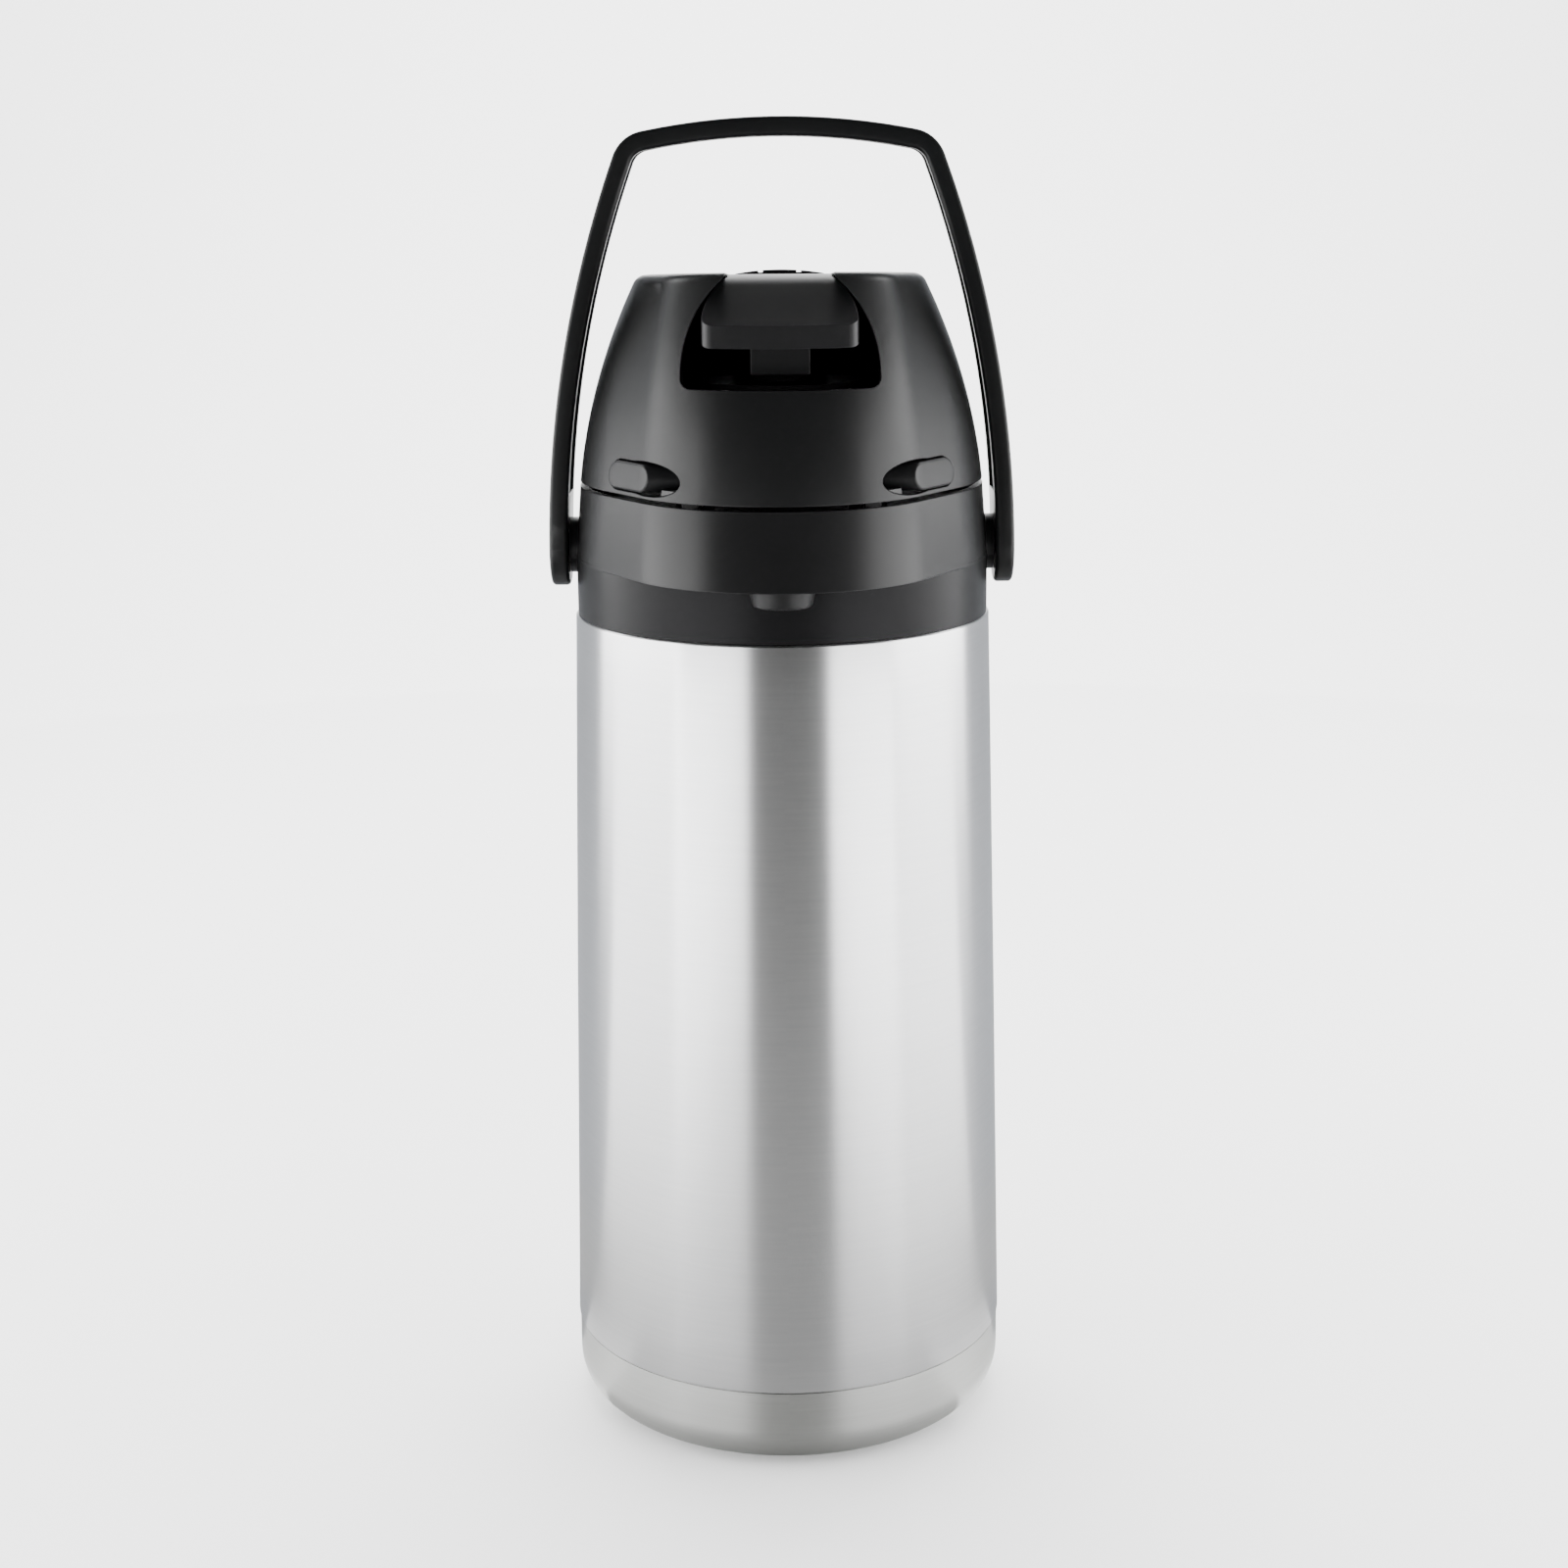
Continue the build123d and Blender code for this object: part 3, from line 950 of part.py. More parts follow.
def make_lever():
    """Hollow finger lever with a sloping pad, the press rib, pin bosses and the lock's slot."""
    lever = lever_form(0)
    lever -= lever_form(LEVER_WALL, deep_z=RIB_BOTTOM_Z - 10)
    rib = block(-RIB_HALF, RIB_HALF, -RIB_FRONT_Y, RIB_REAR_Y, RIB_BOTTOM_Z, OVER_TOP_Z)
    rib -= block(-RIB_HALF + LEVER_WALL, RIB_HALF - LEVER_WALL, -RIB_FRONT_Y + LEVER_WALL,
                 RIB_REAR_Y + 1, RIB_BOTTOM_Z + LEVER_WALL, OVER_TOP_Z)
    inside = rib
    half = WELL_TOP_HALF - LEVER_SIDE_GAP
    lock_clear = LOCK_STEM_HALF + SOFT_FIT
    for sx in (-1, 1):
        near, far = sx * (lock_clear + 1), sx * half
        inside += rod(PIN_BOSS_R, (near, PIVOT_Y, PIVOT_Z), (far, PIVOT_Y, PIVOT_Z))
        inside += block(min(near, far), max(near, far), PIVOT_Y - 3, PIVOT_Y + 3, PIVOT_Z, OVER_TOP_Z)
    lever += inside & lever_form(0.6, deep_z=RIB_BOTTOM_Z)
    lever -= rod(PIN_R + RUNNING, (-WELL_HALF, PIVOT_Y, PIVOT_Z), (WELL_HALF, PIVOT_Y, PIVOT_Z))
    slot_y = LOCK_Y + LOCK_STEM_BACK
    lever -= block(-lock_clear, lock_clear, slot_y - SOFT_FIT,
                   slot_y + LOCK_STEM_LENGTH + LOCK_STROKE + SOFT_FIT, LEVER_TOP_Z - 2.5 * LEVER_WALL, OVER_TOP_Z)
    lever -= block(-lock_clear, lock_clear, PIVOT_Y, PIVOT_Y + LEVER_TAIL + 1, TONGUE_LOW_Z - SOFT_FIT,
                   TONGUE_LOW_Z + LOCK_TONGUE_T + SOFT_FIT)
    return lever


def make_lever_lock():
    """Lock slide: a low domed knob with two grip notches, its stem and the tongue under the head's skin."""
    crown = (
        Line((-LOCK_HALF, 0), (LOCK_HALF, 0)) + Line((LOCK_HALF, 0), (LOCK_HALF, LOCK_EDGE))
        + ThreePointArc((LOCK_HALF, LOCK_EDGE), (0, LOCK_RISE), (-LOCK_HALF, LOCK_EDGE))
        + Line((-LOCK_HALF, LOCK_EDGE), (-LOCK_HALF, 0))
    )
    knob = forward(make_face(crown), -LOCK_LENGTH, 0)
    knob = fillet(knob.edges().filter_by(Axis.Z), 4.0)
    for x in (-LOCK_NOTCH_X, LOCK_NOTCH_X):
        knob -= block(x - 0.8, x + 0.8, -1, LOCK_LENGTH + 1, LOCK_RISE - 0.9, LOCK_RISE + 1)
    tilt = math.degrees(math.atan(LID_TOP_SLOPE))
    knob = Pos(0, LOCK_Y, lever_top(LOCK_Y) + FIT) * Rot(-tilt, 0, 0) * knob
    stem_y = LOCK_Y + LOCK_STEM_BACK
    stem_end = stem_y + LOCK_STEM_LENGTH
    stem = block(-LOCK_STEM_HALF, LOCK_STEM_HALF, stem_y, stem_end, TONGUE_LOW_Z, lever_top(stem_end) + LOCK_EDGE)
    tongue = block(-LOCK_STEM_HALF, LOCK_STEM_HALF, stem_y, PIVOT_Y + LEVER_TAIL - 0.5, TONGUE_LOW_Z,
                   TONGUE_LOW_Z + LOCK_TONGUE_T)
    return knob + stem + tongue


# Latches and handle

def make_latch():
    """Right squeeze latch: oval button just proud of the head, its stem, arm and hooked tongue."""
    skin = lid_form(-LATCH_PROUD, LATCH_Z - 2 * LATCH_HALF_H, LATCH_Z + 2 * LATCH_HALF_H, steps=2)
    button = latch_prism(0, LATCH_INNER_X + 12, LIP_FRONT) & skin
    button = fillet(button.faces().sort_by(Axis.X)[-1].edges(), LATCH_EDGE_R)
    button += block(LATCH_INNER_X, LATCH_INNER_X + 13, -LATCH_Y - 6, -LATCH_Y + 6, STEM_Z, STEM_Z + STEM_H)
    button += block(LATCH_INNER_X, TONGUE_X, -TONGUE_FRONT_Y, -LATCH_Y, STEM_Z, STEM_Z + STEM_H)
    tongue_x = TONGUE_X - TONGUE_T
    button += block(tongue_x, TONGUE_X, -TONGUE_FRONT_Y, -TONGUE_REAR_Y, LATCH_NOSE_Z, STEM_Z + 1)
    button += block(tongue_x, TONGUE_X + NOSE_BITE, -TONGUE_FRONT_Y, -TONGUE_REAR_Y, LATCH_NOSE_Z,
                    LATCH_NOSE_Z + NOSE_H)
    return button


def bail_face(inset):
    """Front view of the bail's outline: upright feet, bowed sides and an arched grip."""
    half = HANDLE_HALF - inset
    side_r = HANDLE_SIDE_R - inset
    low_z = HANDLE_PIVOT_Z - 2 * HANDLE_EYE_R
    arch = Pos(0, HANDLE_TOP_Z - HANDLE_ARCH_R) * Circle(HANDLE_ARCH_R - inset)
    upper = arch & Pos(HANDLE_HALF - HANDLE_SIDE_R, ARM_CURVE_Z) * Circle(side_r)
    upper &= Pos(HANDLE_SIDE_R - HANDLE_HALF, ARM_CURVE_Z) * Circle(side_r)
    middle_z = (ARM_CURVE_Z + HANDLE_TOP_Z) / 2 + 50
    upper &= Pos(0, middle_z) * Rectangle(4 * half, 2 * (middle_z - ARM_CURVE_Z))
    feet = Pos(0, (low_z + ARM_CURVE_Z) / 2) * Rectangle(2 * half, ARM_CURVE_Z - low_z)
    upper = fillet(upper.vertices().group_by(Axis.Y)[-1], HANDLE_CORNER_R - inset)
    return upper + feet


def bail_side(inset):
    """Side view of the bail: round eyes at the pivot, arms that taper to the grip."""
    eye_r = HANDLE_EYE_R - inset
    top = HANDLE_TOP_HALF_D - inset
    arm = make_face(Polyline((-eye_r, HANDLE_PIVOT_Z), (eye_r, HANDLE_PIVOT_Z), (top, HANDLE_TOP_Z + 1),
                             (-top, HANDLE_TOP_Z + 1), close=True))
    return arm + Pos(0, HANDLE_PIVOT_Z) * Circle(eye_r)


def make_handle():
    """One-piece bail with rounded edges and a shallow groove along the inner face."""
    reach = HANDLE_HALF + 1
    band = bail_face(0) - bail_face(HANDLE_T)
    handle = forward(band, -HANDLE_EYE_R - 1, HANDLE_EYE_R + 1)
    handle &= Pos(-reach, 0, 0) * extrude(Plane.YZ * bail_side(0), 2 * reach)
    handle = fillet(handle.edges(), HANDLE_EDGE_R)
    groove = forward(bail_face(HANDLE_T - GROOVE_DEPTH) - bail_face(HANDLE_T), -HANDLE_EYE_R, HANDLE_EYE_R)
    groove &= Pos(-reach, 0, 0) * extrude(Plane.YZ * bail_side(GROOVE_MARGIN), 2 * reach)
    groove &= block(-reach, reach, -50, 50, HANDLE_PIVOT_Z + HANDLE_EYE_R + 4, HANDLE_TOP_Z)
    handle -= groove
    head_in = HANDLE_HALF - HEAD_SINK - HANDLE_HEAD_T
    for sx in (-1, 1):
        handle -= rod(HANDLE_PIN_R + RUNNING, (sx * NOSE_R, 0, HANDLE_PIVOT_Z), (sx * reach, 0, HANDLE_PIVOT_Z))
        handle -= rod(HANDLE_HEAD_R + SOFT_FIT, (sx * (head_in - FIT), 0, HANDLE_PIVOT_Z),
                      (sx * reach, 0, HANDLE_PIVOT_Z))
    return handle


def main():
    """Build every piece and write it."""
    latch = make_latch()
    pieces = {
        "outer_casing": make_outer_casing,
        "inner_vessel": make_inner_vessel,
        "vacuum_bottom": make_vacuum_bottom,
        "getter_cap": make_getter_cap,
        "base_cup": make_base_cup,
        "foot_ring": make_foot_ring,
        "neck_ring": make_neck_ring,
        "collar_screws": make_collar_screws,
        "collar": make_collar,
        "funnel_plate": make_funnel_plate,
        "mouth_gasket": make_mouth_gasket,
        "mouth_insert": make_mouth_insert,
        "dip_tube": make_dip_tube,
        "intake_cap": make_intake_cap,
        "spout_pipe": make_spout_pipe,
        "pipe_gaskets": make_pipe_gaskets,
        "nozzle": make_nozzle,
        "hinge_pin": make_hinge_pin,
        "handle_pins": make_handle_pins,
        "handle_clips": make_handle_clips,
        "lid_shell": make_lid_shell,
        "lid_base": make_lid_base,
        "lid_screws": make_lid_screws,
        "lid_seal": make_lid_seal,
        "air_valve": make_air_valve,
        "bellows": make_bellows,
        "return_spring": make_return_spring,
        "lever_pin": make_lever_pin,
        "latch_spring": make_latch_spring,
        "pump_plate": make_pump_plate,
        "lever": make_lever,
        "lever_lock": make_lever_lock,
        "latch_right": lambda: latch,
        "latch_left": lambda: mirror(latch, about=Plane.YZ),
        "handle": make_handle,
    }
    os.makedirs("parts", exist_ok=True)
    for name, make in pieces.items():
        save(make(), name)


main()
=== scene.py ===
import bpy
import math
from mathutils import Matrix, Vector


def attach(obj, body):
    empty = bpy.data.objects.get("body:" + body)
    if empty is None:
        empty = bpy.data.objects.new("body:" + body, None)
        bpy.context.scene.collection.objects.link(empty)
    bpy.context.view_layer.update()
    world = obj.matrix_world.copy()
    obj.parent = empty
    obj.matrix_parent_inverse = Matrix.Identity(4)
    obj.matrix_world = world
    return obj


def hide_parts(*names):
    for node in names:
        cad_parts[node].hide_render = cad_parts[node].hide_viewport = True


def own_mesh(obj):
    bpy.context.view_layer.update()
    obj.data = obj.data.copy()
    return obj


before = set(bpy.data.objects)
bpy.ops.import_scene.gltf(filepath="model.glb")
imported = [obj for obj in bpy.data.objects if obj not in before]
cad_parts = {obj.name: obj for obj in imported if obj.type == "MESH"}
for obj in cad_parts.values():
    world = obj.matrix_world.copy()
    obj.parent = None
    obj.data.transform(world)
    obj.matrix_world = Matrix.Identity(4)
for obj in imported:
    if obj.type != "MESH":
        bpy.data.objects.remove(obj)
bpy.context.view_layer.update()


# Steel body: the outer wall of the flask, drawn from one sheet of stainless steel and brushed
# round and round while it turns, so that the lines are level and highlights run up and down it.

STEEL_COLOR = (0.68, 0.68, 0.685, 1)
STEEL_SHADE = (0.60, 0.605, 0.615, 1)
BODY_ROUGHNESS = 0.28
BRUSH_LINES = 850.0
BRUSH_LENGTH = 2.2
BRUSH_BLUR = 0.006
BRUSH_BUMP = 0.004
BRUSH_DEPTH = 0.00004
CLOUD_SCALE = 14.0
CRISP_ANGLE = 30
WELD_DISTANCE = 1e-6


def add_node(tree, kind, inputs=None, **settings):
    """Put one node into a material and set its sockets and options."""
    node = tree.nodes.new(kind)
    for name, value in settings.items():
        setattr(node, name, value)
    for name, value in (inputs or {}).items():
        socket = node.inputs[name]
        if isinstance(value, bpy.types.NodeSocket):
            tree.links.new(value, socket)
        else:
            socket.default_value = value
    return node


def start_material(name, **shader):
    """A material with its main shader set; gives the material, its tree and the shader."""
    material = bpy.data.materials.new(name)
    material.use_nodes = True
    tree = material.node_tree
    surface = tree.nodes["Principled BSDF"]
    for socket, value in shader.items():
        surface.inputs[socket.replace("_", " ")].default_value = value
    return material, tree, surface


def round_the_axis(tree):
    """Coordinates that run round the pot, outwards and up, for marks left by turning."""
    place = add_node(tree, "ShaderNodeTexCoord")
    split = add_node(tree, "ShaderNodeSeparateXYZ", {"Vector": place.outputs["Object"]})
    x, y, height = split.outputs
    angle = add_node(tree, "ShaderNodeMath", {0: x, 1: y}, operation="ARCTAN2")
    flat = add_node(tree, "ShaderNodeCombineXYZ", {"X": x, "Y": y, "Z": 0.0})
    radius = add_node(tree, "ShaderNodeVectorMath", {0: flat.outputs["Vector"]}, operation="LENGTH")
    return angle.outputs[0], radius.outputs["Value"], height


def brushed_steel(name, color, shade, roughness):
    """Stainless steel brushed while turning: fine level lines in colour, roughness and height."""
    material, tree, surface = start_material(name, Metallic=1.0, Anisotropic=0.85, Anisotropic_Rotation=0.25)
    angle, radius, height = round_the_axis(tree)
    along = add_node(tree, "ShaderNodeMath", {0: angle, 1: BRUSH_LENGTH}, operation="MULTIPLY")
    lines = add_node(tree, "ShaderNodeMath", {0: height, 1: BRUSH_LINES}, operation="MULTIPLY")
    rings = add_node(tree, "ShaderNodeMath", {0: radius, 1: BRUSH_LINES}, operation="MULTIPLY")
    grid = add_node(tree, "ShaderNodeCombineXYZ",
                    {"X": along.outputs[0], "Y": lines.outputs[0], "Z": rings.outputs[0]})
    grain = add_node(tree, "ShaderNodeTexNoise",
                     {"Vector": grid.outputs["Vector"], "Scale": 1.0, "Detail": 2.0, "Roughness": 0.55})
    place = add_node(tree, "ShaderNodeTexCoord")
    cloud = add_node(tree, "ShaderNodeTexNoise",
                     {"Vector": place.outputs["Object"], "Scale": CLOUD_SCALE,
                      "Detail": 2.0, "Roughness": 0.5})
    mixed = add_node(tree, "ShaderNodeMix", {"Factor": grain.outputs["Fac"], "A": color, "B": shade},
                     data_type="RGBA")
    tree.links.new(mixed.outputs["Result"], surface.inputs["Base Color"])
    haze = add_node(tree, "ShaderNodeMath", {0: cloud.outputs["Fac"], 1: grain.outputs["Fac"]},
                    operation="ADD")
    rough = add_node(tree, "ShaderNodeMapRange",
                     {"Value": haze.outputs[0], "From Min": 0.6, "From Max": 1.4,
                      "To Min": roughness - BRUSH_BLUR, "To Max": roughness + BRUSH_BLUR})
    tree.links.new(rough.outputs["Result"], surface.inputs["Roughness"])
    bump = add_node(tree, "ShaderNodeBump",
                    {"Height": grain.outputs["Fac"], "Strength": BRUSH_BUMP, "Distance": BRUSH_DEPTH})
    tree.links.new(bump.outputs["Normal"], surface.inputs["Normal"])
    turn = add_node(tree, "ShaderNodeTangent", direction_type="RADIAL", axis="Z")
    tree.links.new(turn.outputs["Tangent"], surface.inputs["Tangent"])
    return material


def smooth_rounds():
    """Modifier nodes that shade round faces smoothly and keep sharper edges crisp."""
    group = bpy.data.node_groups.new("smooth_rounds", "GeometryNodeTree")
    group.interface.new_socket("Geometry", in_out="INPUT", socket_type="NodeSocketGeometry")
    group.interface.new_socket("Geometry", in_out="OUTPUT", socket_type="NodeSocketGeometry")
    start = group.nodes.new("NodeGroupInput")
    end = group.nodes.new("NodeGroupOutput")
    weld = add_node(group, "GeometryNodeMergeByDistance",
                    {"Geometry": start.outputs[0], "Distance": WELD_DISTANCE})
    angle = add_node(group, "GeometryNodeInputMeshEdgeAngle")
    crisp = add_node(group, "FunctionNodeCompare",
                     {"A": angle.outputs["Unsigned Angle"], "B": math.radians(CRISP_ANGLE)},
                     data_type="FLOAT", operation="GREATER_THAN")
    faces = add_node(group, "GeometryNodeSetShadeSmooth",
                     {"Geometry": weld.outputs["Geometry"], "Shade Smooth": True}, domain="FACE")
    edges = add_node(group, "GeometryNodeSetShadeSmooth",
                     {"Geometry": faces.outputs["Geometry"], "Selection": crisp.outputs["Result"],
                      "Shade Smooth": False}, domain="EDGE")
    group.links.new(edges.outputs["Geometry"], end.inputs[0])
    return group


SMOOTH = smooth_rounds()


def dress(names, material):
    """Give CAD nodes their finish, with soft shading on round faces."""
    for name in names:
        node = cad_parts[name]
        for place in node.material_slots:
            place.material = material
        node.modifiers.new("smooth_rounds", "NODES").node_group = SMOOTH


body_steel = brushed_steel("body_steel", STEEL_COLOR, STEEL_SHADE, BODY_ROUGHNESS)
dress(["outer_casing"], body_steel)


# Base cup: a second steel pressing, pushed up over the foot of the body. It is brushed like the
# body but a little duller, and meets it in a fine dark seam.

BASE_COLOR = (0.62, 0.625, 0.612, 1)
BASE_SHADE = (0.54, 0.545, 0.532, 1)
BASE_ROUGHNESS = 0.36

base_steel = brushed_steel("base_steel", BASE_COLOR, BASE_SHADE, BASE_ROUGHNESS)
dress(["base_cup"], base_steel)


# Flask: the drawn steel vessel inside, its closing plate and the little cap over the hole
# that the air was pumped out of. Plain, lightly polished steel.

FLASK_COLOR = (0.63, 0.63, 0.635, 1)
FLASK_SHADE = (0.57, 0.57, 0.58, 1)
FLASK_ROUGHNESS = 0.22

flask_steel = brushed_steel("flask_steel", FLASK_COLOR, FLASK_SHADE, FLASK_ROUGHNESS)
dress(["inner_vessel", "vacuum_bottom", "getter_cap"], flask_steel)


# Foot ring: a black rubber ring pressed into the base cup. The pot stands on it, and its dull
# skin keeps the pot from sliding.

RUBBER_COLOR = (0.018, 0.018, 0.019, 1)
RUBBER_LIGHT = (0.026, 0.026, 0.027, 1)
MOULD_CLOUDS = 22.0
MOULD_BLUR = 0.03
GRAIN_STRENGTH = 0.25
# Painted highlight: how much paler than the light tone the rounded edges are painted.
EDGE_HIGHLIGHT_GAIN = 2.2
RUB_SMOOTHER = 0.06


def moulding(name, dark, light, roughness, grain_size, grain_depth, edge_round_and_highlight=0.0, specular=0.2):
    """Moulded plastic or rubber: fine even grain and slightly cloudy gloss, with edges softened
    by the mould, rubbed a little smoother than the faces, and painted lighter as a highlight."""
    material, tree, surface = start_material(name, Specular_IOR_Level=specular)
    place = add_node(tree, "ShaderNodeTexCoord")
    grain = add_node(tree, "ShaderNodeTexNoise",
                     {"Vector": place.outputs["Object"], "Scale": 1 / grain_size,
                      "Detail": 2.0, "Roughness": 0.55})
    cloud = add_node(tree, "ShaderNodeTexNoise",
                     {"Vector": place.outputs["Object"], "Scale": MOULD_CLOUDS,
                      "Detail": 3.0, "Roughness": 0.5})
    tone = add_node(tree, "ShaderNodeMix", {"Factor": cloud.outputs["Fac"], "A": dark, "B": light},
                    data_type="RGBA")
    rough = add_node(tree, "ShaderNodeMapRange",
                     {"Value": cloud.outputs["Fac"], "From Min": 0.3, "From Max": 0.7,
                      "To Min": roughness - MOULD_BLUR, "To Max": roughness + MOULD_BLUR})
    bump = add_node(tree, "ShaderNodeBump",
                    {"Height": grain.outputs["Fac"], "Strength": GRAIN_STRENGTH, "Distance": grain_depth})
    color = tone.outputs["Result"]
    gloss = rough.outputs["Result"]
    if edge_round_and_highlight:
        soft = add_node(tree, "ShaderNodeBevel", {"Radius": edge_round_and_highlight}, samples=4)
        true = add_node(tree, "ShaderNodeNewGeometry")
        meet = add_node(tree, "ShaderNodeVectorMath",
                        {0: soft.outputs["Normal"], 1: true.outputs["Normal"]}, operation="DOT_PRODUCT")
        edge = add_node(tree, "ShaderNodeMapRange",
                        {"Value": meet.outputs["Value"], "From Min": 0.98, "From Max": 0.8})
        tree.links.new(soft.outputs["Normal"], bump.inputs["Normal"])
        # Painted highlight: the rounded edges are painted paler than the faces.
        painted_highlight = [EDGE_HIGHLIGHT_GAIN * part for part in light[:3]] + [1]
        edge_highlight_mix = add_node(tree, "ShaderNodeMix", {"Factor": edge.outputs["Result"], "A": color, "B": painted_highlight},
                        data_type="RGBA")
        smoother = add_node(tree, "ShaderNodeMath", {0: edge.outputs["Result"], 1: RUB_SMOOTHER},
                            operation="MULTIPLY")
        polished = add_node(tree, "ShaderNodeMath", {0: gloss, 1: smoother.outputs[0]},
                            operation="SUBTRACT")
        color = edge_highlight_mix.outputs["Result"]
        gloss = polished.outputs[0]
    tree.links.new(color, surface.inputs["Base Color"])
    tree.links.new(gloss, surface.inputs["Roughness"])
    tree.links.new(bump.outputs["Normal"], surface.inputs["Normal"])
    return material


foot_rubber = moulding("foot_rubber", RUBBER_COLOR, RUBBER_LIGHT, roughness=0.75,
                       grain_size=0.0011, grain_depth=0.00008)
dress(["foot_ring"], foot_rubber)


# Collar and neck ring: the charcoal black moulding between the steel and the lid, with the spout
# overhang, handle bosses and latch posts, screwed to a moulded ring on the shoulder of the flask.

COLLAR_COLOR = (0.0034, 0.0034, 0.0036, 1)
COLLAR_LIGHT = (0.0046, 0.0046, 0.0049, 1)
SKIRT_TOP = 0.3036
# Painted shade: reflection tints that dim the skirt below SKIRT_TOP and the latch posts above BAND_TOP.
SKIRT_PAINTED_SHADE = (0.30, 0.30, 0.31, 1)
BAND_TOP = 0.3282
POST_PAINTED_SHADE = (0.05, 0.05, 0.05, 1)
FULL_SHINE = (1, 1, 1, 1)


def painted_shade_by_height(material, lowest, steps):
    """Painted shade on the face-on shine: its tint steps by height, from the floor upwards, dimming the
    reflections on the skirt under the spout overhang and on the latch posts in the gap.
    """
    tree = material.node_tree
    surface = tree.nodes["Principled BSDF"]
    place = add_node(tree, "ShaderNodeTexCoord")
    split = add_node(tree, "ShaderNodeSeparateXYZ", {"Vector": place.outputs["Object"]})
    shine = lowest
    for level, shine_above in steps:
        higher = add_node(tree, "ShaderNodeMath", {0: split.outputs["Z"], 1: level},
                          operation="GREATER_THAN")
        mixed = add_node(tree, "ShaderNodeMix",
                         {"Factor": higher.outputs[0], "A": shine, "B": shine_above}, data_type="RGBA")
        shine = mixed.outputs["Result"]
    tree.links.new(shine, surface.inputs["Specular Tint"])


collar_plastic = moulding("collar_plastic", COLLAR_COLOR, COLLAR_LIGHT, roughness=0.34,
                          grain_size=0.0006, grain_depth=0.00002, edge_round_and_highlight=0.0005)
# Painted shade: the collar's reflections are tinted down on the skirt and on the latch posts.
painted_shade_by_height(collar_plastic, SKIRT_PAINTED_SHADE, [(SKIRT_TOP, FULL_SHINE), (BAND_TOP, POST_PAINTED_SHADE)])
dress(["collar", "neck_ring"], collar_plastic)


# Lid shell: the domed head, moulded in one piece of the same plastic with a satin grain. Its
# recess takes the lever, and the two openings in its front are for the latch buttons.

SHELL_COLOR = (0.0034, 0.0034, 0.0036, 1)
SHELL_LIGHT = (0.0047, 0.0049, 0.0051, 1)

shell_plastic = moulding("shell_plastic", SHELL_COLOR, SHELL_LIGHT, roughness=0.34,
                         grain_size=0.0006, grain_depth=0.00002, edge_round_and_highlight=0.0005)
dress(["lid_shell"], shell_plastic)


# Lever and lock: the press lever that works the pump, and the small slide behind its finger pad
# that locks it. Both are moulded, and the pad has a slightly finer skin from handling.

LEVER_COLOR = (0.0039, 0.0039, 0.0043, 1)
LEVER_LIGHT = (0.0054, 0.0054, 0.0058, 1)

lever_plastic = moulding("lever_plastic", LEVER_COLOR, LEVER_LIGHT, roughness=0.38,
                         grain_size=0.0005, grain_depth=0.00002, edge_round_and_highlight=0.0004)
dress(["lever", "lever_lock"], lever_plastic)


# Latch buttons: two moulded slides that are squeezed together to free the lid. Their rounded
# ends stand a little out of the openings in the head.

LATCH_COLOR = (0.0038, 0.0038, 0.0042, 1)
LATCH_LIGHT = (0.0051, 0.0051, 0.0054, 1)

latch_plastic = moulding("latch_plastic", LATCH_COLOR, LATCH_LIGHT, roughness=0.36,
                         grain_size=0.0005, grain_depth=0.00002, edge_round_and_highlight=0.0004)
dress(["latch_right", "latch_left"], latch_plastic)


# Nozzle: the short black cup under the spout overhang that the drink leaves by, pushed up into
# the collar and gripped by the pipe behind it.

NOZZLE_COLOR = (0.0034, 0.0034, 0.0036, 1)
NOZZLE_LIGHT = (0.0049, 0.0049, 0.0053, 1)

nozzle_plastic = moulding("nozzle_plastic", NOZZLE_COLOR, NOZZLE_LIGHT, roughness=0.36,
                          grain_size=0.0005, grain_depth=0.00002, edge_round_and_highlight=0.0004)
dress(["nozzle"], nozzle_plastic)


# Bail handle: one bent bar of black nylon with rounded edges, a little smoother than the head,
# and the flush shouldered pins that it swings on.

GRIP_COLOR = (0.0027, 0.0028, 0.0030, 1)
GRIP_LIGHT = (0.0039, 0.0041, 0.0043, 1)

grip_nylon = moulding("grip_nylon", GRIP_COLOR, GRIP_LIGHT, roughness=0.33,
                      grain_size=0.0007, grain_depth=0.00002, edge_round_and_highlight=0.0006)
dress(["handle", "handle_pins"], grip_nylon)


# Inner mouldings: base plate of the lid, funnel cover, mouth insert and pump plate, in plain
# dark grey plastic straight from the mould.

INNER_COLOR = (0.020, 0.020, 0.021, 1)
INNER_LIGHT = (0.026, 0.026, 0.027, 1)

inner_plastic = moulding("inner_plastic", INNER_COLOR, INNER_LIGHT, roughness=0.5,
                         grain_size=0.0009, grain_depth=0.00004, specular=0.35)
dress(["lid_base", "funnel_plate", "mouth_insert", "pump_plate"], inner_plastic)


# Drink tubes: the dip tube, its notched end and the short pipe to the spout, drawn and moulded
# in natural white plastic.

TUBE_COLOR = (0.72, 0.71, 0.68, 1)
TUBE_LIGHT = (0.80, 0.79, 0.77, 1)

tube_plastic = moulding("tube_plastic", TUBE_COLOR, TUBE_LIGHT, roughness=0.4,
                        grain_size=0.0012, grain_depth=0.00003, specular=0.45)
dress(["dip_tube", "intake_cap", "spout_pipe"], tube_plastic)


# Seals and valve: soft greyish silicone with a dull skin, stretched into their grooves and
# held there by their own grip.

SEAL_COLOR = (0.52, 0.51, 0.47, 1)
SEAL_LIGHT = (0.60, 0.59, 0.55, 1)

